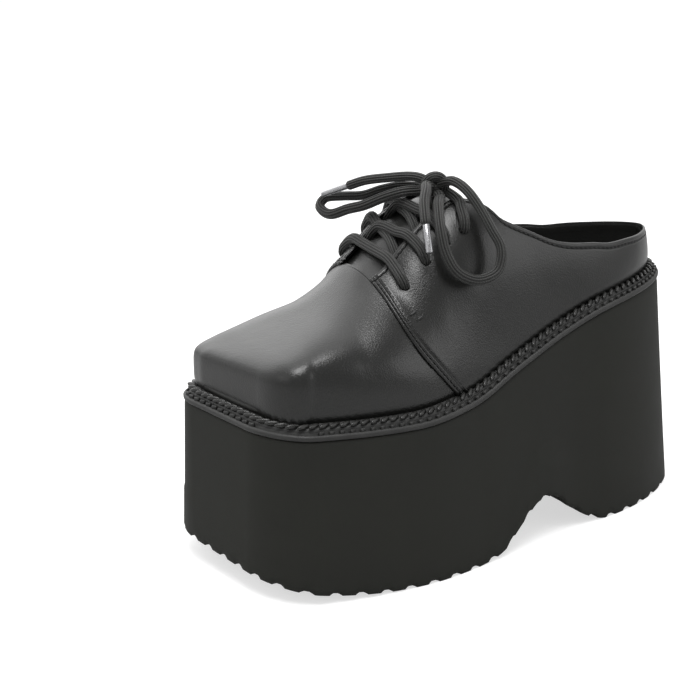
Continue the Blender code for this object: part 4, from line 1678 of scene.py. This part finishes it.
@dataclass
class Lace:
    """Ribbed lace: bar and crossings through the eyelets, knot, bow, ends and tags."""

    form: ShoeForm
    upper: Upper
    radius: float = 0.0026
    flat: float = 0.90
    ribs: int = 11
    rib_depth: float = 0.15
    slack: float = -0.0006
    smooth_passes: int = 10
    knot: Point = (0.0020, -0.0098, 0.1762)
    knot_axis: Point = (0.86, -0.42, 0.10)
    knot_core: Point = (0.0040, 0.0048, 0.0042)
    tag_length: float = 0.0150
    tag_radius: float = 0.0016
    tag_pressed: Point = (1.05, 0.90, 1.0)
    drawn_in: float = 0.45

    # Routes of the bow's loops and of the free ends, from the knot
    loop_outer: Table = (
        (0.0078, -0.0078, 0.1794), (0.0140, -0.0066, 0.1806), (0.0205, -0.0040, 0.1772),
        (0.0270, -0.0012, 0.1700), (0.0342, 0.0013, 0.1600), (0.0398, 0.0031, 0.1513),
        (0.0416, -0.0005, 0.1415), (0.0405, -0.0109, 0.1384), (0.0368, -0.0198, 0.1426),
        (0.0330, -0.0240, 0.1518), (0.0286, -0.0241, 0.1621), (0.0214, -0.0205, 0.1699),
        (0.0152, -0.0160, 0.1724), (0.0095, -0.0112, 0.1724),
    )
    loop_inner: Table = (
        (-0.0050, -0.0118, 0.1755), (-0.0125, -0.0190, 0.1756), (-0.0200, -0.0254, 0.1734),
        (-0.0280, -0.0315, 0.1698), (-0.0370, -0.0378, 0.1686), (-0.0438, -0.0435, 0.1672),
        (-0.0440, -0.0470, 0.1630), (-0.0365, -0.0455, 0.1603), (-0.0270, -0.0410, 0.1640),
        (-0.0190, -0.0365, 0.1668), (-0.0110, -0.0310, 0.1712), (-0.0035, -0.0250, 0.1746),
        (-0.0014, -0.0172, 0.1750),
    )
    end_outer: Table = (
        (0.0066, -0.0172, 0.1784), (0.0130, -0.0218, 0.1770), (0.0185, -0.0265, 0.1730),
        (0.0230, -0.0290, 0.1680), (0.0255, -0.0300, 0.1640),
    )
    end_inner: Table = (
        (-0.0010, -0.0145, 0.1803), (-0.0060, -0.0190, 0.1812), (-0.0150, -0.0262, 0.1798),
        (-0.0240, -0.0330, 0.1778), (-0.0310, -0.0390, 0.1745),
    )

    def tube(
        self,
        name: str,
        line: np.ndarray,
        radius: float,
        ups: Optional[np.ndarray] = None,
        pinch: Optional[np.ndarray] = None,
    ) -> bpy.types.Object:
        """Closed, ribbed and slightly flat cord along a line, with a UV map that follows it.

        Args:
            name: Name of the piece.
            line: Its middle line.
            radius: Half its width.
            ups: The way that its flat side faces, one for each point.
            pinch: Size of the section at each point, 1 where it's full.

        Returns:
            The piece.
        """
        count = len(line)
        around = self.ribs * 4
        ahead = np.gradient(line, axis=0)
        ahead /= np.linalg.norm(ahead, axis=1)[:, None]
        up = np.zeros_like(line)
        guess = np.array((0.0, 0.0, 1.0)) if ups is None else ups[0]
        for i in range(count):
            seed = guess if ups is None else ups[i]
            side = seed - ahead[i] * np.dot(seed, ahead[i])
            size = np.linalg.norm(side)
            up[i] = side / size if size > 1e-6 else up[i - 1]
            guess = up[i]
        across = np.cross(ahead, up)
        turn = np.linspace(0.0, 2.0 * math.pi, around + 1)
        relief = 1.0 - self.rib_depth * (1.0 - np.abs(np.cos(turn * self.ribs / 2.0)) ** 0.6)
        size = np.ones(count) if pinch is None else pinch
        ends = np.minimum(np.arange(count), np.arange(count)[::-1]).astype(float)
        size = size * np.where(ends < 0.5, 0.62, 1.0)
        wide = radius * relief * np.cos(turn)
        high = radius * self.flat * relief * np.sin(turn)
        points = line[:, None, :] + across[:, None, :] * (wide * size[:, None])[..., None]
        points += up[:, None, :] * (high * size[:, None])[..., None]
        item = grid_sheet(name, points)
        uv = item.data.uv_layers[0]
        uv.name = "UVMap"
        loops = np.zeros(len(item.data.loops), dtype=np.int64)
        item.data.loops.foreach_get("vertex_index", loops)
        row, column = np.divmod(loops, around + 1)
        flatmap = np.column_stack((running(line)[row] / (radius * 1.5), column / around))
        uv.data.foreach_set("uv", flatmap.reshape(-1).astype(np.float32))
        edit_all(
            item,
            partial(bpy.ops.mesh.remove_doubles, threshold=1e-5),
            partial(bpy.ops.mesh.select_all, action="DESELECT"),
            partial(bpy.ops.mesh.select_non_manifold, extend=False),
            bpy.ops.mesh.edge_face_add,
            partial(bpy.ops.mesh.select_all, action="SELECT"),
            FACES_OUT,
        )
        smooth_shade(item, 1.1)
        return item

    def _over(
        self, index: float, side: Side, run: float, lift: float
    ) -> tuple[np.ndarray, np.ndarray]:
        """Point above the facing or the gap, at an eyelet's height along the shoe.

        Args:
            index: Pair from the toe, or a place between two pairs.
            side: Which side.
            run: Distance behind the facing's edge.
            lift: Height above the last.

        Returns:
            The point and the normal.
        """
        eyelets = self.upper.eyelets
        share = float(np.interp(index, range(len(eyelets)), eyelets))
        place, normal = self.form.on_facing(share, side, run, lift)
        return np.array(place), np.array(normal)

    def _length(self, name: str, stops: Sequence[Stop]) -> bpy.types.Object:
        """One length of lace through given stops.

        Args:
            name: Name of the piece.
            stops: Point, facing and section size at each stop.

        Returns:
            The piece.
        """
        points = np.array([p for p, _, _ in stops])
        line = spline(points, CORD_STEP)
        for _ in range(self.smooth_passes):
            line[1:-1] += 0.5 * (0.5 * (line[:-2] + line[2:]) - line[1:-1])
        run = running(points)
        at = np.linspace(0.0, run[-1], len(line))
        ups = read_off(at, run, [normal for _, normal, _ in stops])
        size = np.interp(at, run, [s for _, _, s in stops])
        return self.tube(name, self.form.to_frame(line), self.radius, ups, size)

    def _into(self, index: int, side: Side) -> list[Stop]:
        """Stops where the lace dives from outside into an eyelet.

        Args:
            index: Which pair.
            side: Which side.

        Returns:
            Stops from the facing into the hole.
        """
        hole, step = self.upper.eyelet_set, self.upper.step
        place, normal = self._over(index, side, hole, step)
        before, up = self._over(index, side, hole - 0.0052, step + 0.0029)
        crest, crest_up = self._over(index, side, hole - 0.0012, step + 0.0026)
        return [
            (before, up, 1.0),
            (crest, crest_up, 0.98),
            (place + normal * 0.0004, crest_up, 0.80),
            (place - normal * 0.0045, crest_up, 0.70),
        ]

    def _taut(
        self, start: np.ndarray, stop: np.ndarray, floor: float, count: int = 4
    ) -> list[Stop]:
        """Stops of a lace drawn straight between two points, resting on what bulges between them.

        Args:
            start: First point, not among the stops.
            stop: Last point, not among the stops.
            floor: Least height over the last.
            count: How many stops.

        Returns:
            The stops.
        """
        stops = []
        for k in range(1, count + 1):
            point = start + (stop - start) * k / (count + 1)
            rest, normal = self.form.on_last(point[0], point[1], floor)
            point[2] = max(point[2], rest.z)
            stops.append((point, np.array(normal), 1.0))
        return stops

    def _crossing(self, index: int, side: Side, floor: float) -> bpy.types.Object:
        """Lace from under one facing over the other and into its next eyelet.

        Args:
            index: Pair that it leaves.
            side: Side that it leaves.
            floor: Least height over the last in the gap.

        Returns:
            The piece.
        """
        other = Side.INNER if side is Side.OUTER else Side.OUTER
        under = self._over(index + 0.05, side, 0.0080, -0.0050)
        lip = self._over(index + 0.22, side, -0.0005, -0.0020)
        far = self._over(index + 0.86, other, 0.0010, self.upper.step + self.radius * 0.95)
        stops = [(under[0], under[1], 0.9), (lip[0], lip[1], 0.95)]
        stops += self._taut(lip[0], far[0], floor, 3) + [(far[0], far[1], 1.0)]
        stops += self._into(index + 1, other)
        return self._length(f"lace_crossing_{index}_{side.name.lower()}", stops)

    def _bar(self) -> bpy.types.Object:
        """Straight bar over the throat at the lowest eyelets.

        Returns:
            The piece.
        """
        lift = self.upper.step + self.radius * 0.95
        left, right = (self._over(0.0, side, 0.0015, lift) for side in (Side.INNER, Side.OUTER))
        middle = self._taut(left[0], right[0], self.slack)
        stops = self._into(0, Side.INNER)[::-1] + [(*left, 1.0)] + middle + [(*right, 1.0)]
        return self._length("lace_bar", stops + self._into(0, Side.OUTER))

    def _lead(self, side: Side) -> list[np.ndarray]:
        """Way of the lace from inside the top eyelet up to the knot.

        Args:
            side: Which side.

        Returns:
            Points of the way, ending at the knot.
        """
        last = len(self.upper.eyelets) - 1
        place, normal = self._over(last, side, self.upper.eyelet_set, self.upper.step)
        stops = [place - normal * 0.0030, place + normal * 0.0012]
        for run, back in ((0.0135, 0.0010), (0.0085, 0.0022), (0.0035, 0.0036)):
            point, _ = self._over(last, side, run, self.upper.step + self.radius + 0.0004)
            point[1] += back
            stops.append(point)
        way = np.array((0.6, 0.8, -0.3)) if side is Side.OUTER else np.array((-0.9, 0.7, 0.05))
        stops.append(np.array(self.knot) + way / np.linalg.norm(way) * 0.0055)
        return stops

    def _end(self, side: Side, end: Table, finishes: Finishes) -> None:
        """Cord from the top eyelet through the knot to its tag.

        Args:
            side: Side of the eyelet.
            end: Route of the free end.
            finishes: The shoe's finishes.
        """
        name = side.name.lower()
        route = self._lead(side) + [np.array(self.knot)] + [np.array(p) for p in end]
        line = self.form.to_frame(spline(route, CORD_STEP))
        item = self.tube(f"lace_end_{name}_cord", line, self.radius)
        dress(item, "lace_cord", [f"lace_end_{name}", f"lace_rise_{name}"], finishes.braid)
        tag = self._tag(f"lace_tag_{name}_tip", line[-1], line[-1] - line[-4])
        dress(tag, "lace_tag", [f"lace_tag_{name}"], finishes.tag)

    def _tag(self, name: str, place: np.ndarray, way: np.ndarray) -> bpy.types.Object:
        """Pressed tag at the lace's end, with a rolled mouth and a blunt tip.

        Args:
            name: Name of the piece.
            place: Where it starts.
            way: Its direction.

        Returns:
            The piece.
        """
        item = primitive(
            name,
            bpy.ops.mesh.primitive_cylinder_add,
            vertices=28,
            radius=self.tag_radius,
            depth=self.tag_length,
            end_fill_type="NGON",
        )
        edit_all(item, partial(bpy.ops.mesh.bevel, offset=0.0004, segments=3, affect="EDGES"))
        ahead = Vector(way).normalized()
        turn = ahead.to_track_quat("Z", "Y").to_matrix().to_4x4()
        middle = Vector(place) + ahead * (self.tag_length * 0.5 - 0.0012)
        pressed = Matrix.Diagonal((*self.tag_pressed, 1.0))
        item.matrix_world = Matrix.Translation(middle) @ turn @ pressed
        place_down(item)
        smooth_shade(item, 0.8)
        return item

    def _loop(self, name: str, route: Table, finishes: Finishes) -> None:
        """One loop of the bow.

        Args:
            name: Which loop.
            route: Its route.
            finishes: The shoe's finishes.
        """
        knot = np.array(self.knot)
        first, last = (knot + (np.array(route[k]) - knot) * self.drawn_in for k in (0, -1))
        points = [first] + [np.array(p) for p in route] + [last]
        line = self.form.to_frame(spline(points, CORD_STEP))
        item = self.tube(f"lace_{name}_bow", line, self.radius)
        dress(item, "lace_cord", [f"lace_{name}"], finishes.braid)

    def _knot(self, finishes: Finishes) -> None:
        """Knot: a wrap of the lace drawn round the strands, over a tight core.

        Args:
            finishes: The shoe's finishes.
        """
        axis = np.array(self.knot_axis)
        axis /= np.linalg.norm(axis)
        up = np.array((0.0, 0.0, 1.0))
        flat = np.cross(up, axis)
        up = np.cross(axis, flat)
        turn = np.linspace(-0.9, math.pi + 0.9, 48)
        centre = np.array(self.knot)
        wrap = [
            centre
            + axis * (0.0022 + 0.0016 * math.sin(t))
            + (up * (math.sin(t) * 0.0052 + 0.0006) + flat * math.cos(t) * 0.0050)
            for t in turn
        ]
        line = self.form.to_frame(spline(wrap, 0.0009))
        out = line - self.form.to_frame(centre[None, :])
        item = self.tube("knot_wrap", line, self.radius * 0.92, out)
        core = primitive(
            "knot_core",
            bpy.ops.mesh.primitive_uv_sphere_add,
            segments=24,
            ring_count=16,
            radius=1.0,
        )
        turn_to = Vector(axis).to_track_quat("X", "Z").to_matrix().to_4x4()
        place = Matrix.Translation(Vector(self.form.to_frame(centre)))
        core.matrix_world = place @ turn_to @ Matrix.Diagonal((*self.knot_core, 1.0))
        place_down(core)
        core.data.uv_layers[0].name = "UVMap"
        smooth_shade(core, 1.2)
        knot = join("lace_knot_wrap", [item, core])
        dress(knot, "lace_cord", ["lace_knot"], finishes.braid)

    def build(self, finishes: Finishes) -> None:
        """Run the lace and dress it.

        Args:
            finishes: The shoe's finishes.
        """
        self._end(Side.OUTER, self.end_outer, finishes)
        self._end(Side.INNER, self.end_inner, finishes)
        self._loop("loop_outer", self.loop_outer, finishes)
        self._loop("loop_inner", self.loop_inner, finishes)
        self._knot(finishes)
        lengths = [self._bar()]
        for index in (0, 1):
            lengths.append(self._crossing(index, Side.OUTER, self.slack))
            lengths.append(self._crossing(index, Side.INNER, self.slack + self.radius * 1.7))
        item = join("lace_lengths", lengths)
        dress(item, "lace_cord", ["lace_crossings"], finishes.braid)


# ---- Studio ----


@dataclass
class Studio:
    """Camera at the photo's view, pale floor and soft light."""

    form: ShoeForm
    azimuth: float = 59.149
    elevation: float = 16.893
    roll: float = -0.189
    distance: float = 0.777552
    focal_share: float = 1376.097 / 700.0
    target: Point = (-0.093847, 0.0, 0.067954)
    sensor: float = 36.0
    glow_way: Point = (-0.90, 0.10, 0.30)
    glow_range: tuple[float, float] = (-0.25, 0.98)
    dim: float = 0.46
    bright: float = 1.20
    # Place, aim, size and power of each panel
    panels: tuple[tuple[str, Point, Point, tuple[float, float], float], ...] = (
        ("panel_top", (-0.3, 0.2, 1.5), (0.0, 0.0, 0.1), (1.6, 1.6), 6.0),
        ("panel_key", (0.36, -0.28, 1.30), (0.0, 0.0, 0.13), (0.62, 0.62), 11.0),
        ("panel_back", (-1.65, -0.1, 1.05), (0.0, 0.0, 0.15), (2.2, 1.2), 8.0),
        ("panel_side", (1.3, 1.35, 0.8), (0.0, 0.0, 0.12), (1.3, 0.9), 5.5),
        ("panel_front", (0.2, -1.5, 0.9), (0.0, 0.0, 0.12), (0.9, 0.9), 2.0),
    )

    def _camera(self) -> None:
        """Camera where the photo was taken from."""
        a, e, r = (math.radians(v) for v in (self.azimuth, self.elevation, self.roll))
        back = Vector((math.sin(a) * math.cos(e), -math.cos(a) * math.cos(e), math.sin(e)))
        right = Vector((math.cos(a), math.sin(a), 0.0))
        up = back.cross(right)
        across = right * math.cos(r) + up * math.sin(r)
        upright = up * math.cos(r) - right * math.sin(r)
        target = Vector(self.form.to_frame(np.array(self.target)))
        lens = bpy.data.cameras.new("studio_camera")
        lens.sensor_width = self.sensor
        lens.lens = self.focal_share * self.sensor
        lens.clip_start = 0.02
        camera = bpy.data.objects.new("studio_camera", lens)
        bpy.context.scene.collection.objects.link(camera)
        turn = Matrix((across, upright, back)).transposed().to_4x4()
        camera.matrix_world = Matrix.Translation(target + back * self.distance) @ turn
        bpy.context.scene.camera = camera

    @staticmethod
    def _panel(
        name: str, place: Point, aim: Point, size: tuple[float, float], power: float
    ) -> None:
        """Soft panel of light.

        Args:
            name: Its name.
            place: Where it stands.
            aim: What it faces.
            size: Width and height.
            power: Its power in watts.
        """
        lamp = bpy.data.lights.new(name, "AREA")
        lamp.shape = "RECTANGLE"
        lamp.size, lamp.size_y = size
        lamp.energy = power
        item = bpy.data.objects.new(name, lamp)
        item.location = place
        item.rotation_euler = (Vector(aim) - Vector(place)).to_track_quat("-Z", "Y").to_euler()
        item.visible_camera = False
        bpy.context.scene.collection.objects.link(item)

    def _air(self) -> None:
        """White backdrop; soft surroundings that brighten towards the inner side."""
        world = bpy.data.worlds.new("studio_air")
        world.use_nodes = True
        tree = world.node_tree
        shader = tree.nodes["Background"]
        shader.inputs["Color"].default_value = (1.0, 1.0, 1.0, 1.0)
        way = tree.nodes.new("ShaderNodeTexCoord").outputs["Generated"]
        dot = tree.nodes.new("ShaderNodeVectorMath")
        dot.operation = "DOT_PRODUCT"
        tree.links.new(way, dot.inputs[0])
        dot.inputs[1].default_value = Vector(self.glow_way).normalized()
        glow = tree.nodes.new("ShaderNodeMapRange")
        glow.interpolation_type = "SMOOTHSTEP"
        tree.links.new(dot.outputs["Value"], glow.inputs[0])
        for index, value in enumerate((*self.glow_range, self.dim, self.bright), start=1):
            glow.inputs[index].default_value = value
        path = tree.nodes.new("ShaderNodeLightPath")
        mix = tree.nodes.new("ShaderNodeMix")
        tree.links.new(path.outputs["Is Camera Ray"], mix.inputs[0])
        tree.links.new(glow.outputs[0], mix.inputs[2])
        mix.inputs[3].default_value = 1.0
        tree.links.new(mix.outputs[0], shader.inputs["Strength"])
        bpy.context.scene.world = world

    def _floor(self) -> None:
        """Wide, plain floor."""
        floor = primitive("studio_floor", bpy.ops.mesh.primitive_plane_add, size=24.0)
        floor.data.materials.append(Floor().build())

    def build(self) -> None:
        """Set up the studio."""
        self._camera()
        self._air()
        self._floor()
        for panel in self.panels:
            self._panel(*panel)
        bpy.context.scene.view_settings.view_transform = "Standard"


def main() -> None:
    """Load the frame and build every sub-assembly in order; each piece's face count is logged as it
    is dressed.
    """
    logging.basicConfig(level=logging.INFO, format="%(message)s")
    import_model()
    finishes = Finishes()
    form = ShoeForm()
    Studio(form).build()
    upper = Upper(form)
    Lace(form, upper).build(finishes)
    upper.build(finishes)
    Tongue(form).build(finishes)
    Insole(form).build(finishes)
    Welt(form).build(finishes)
    Platform(form).build(finishes)


if __name__ == "__main__":
    main()
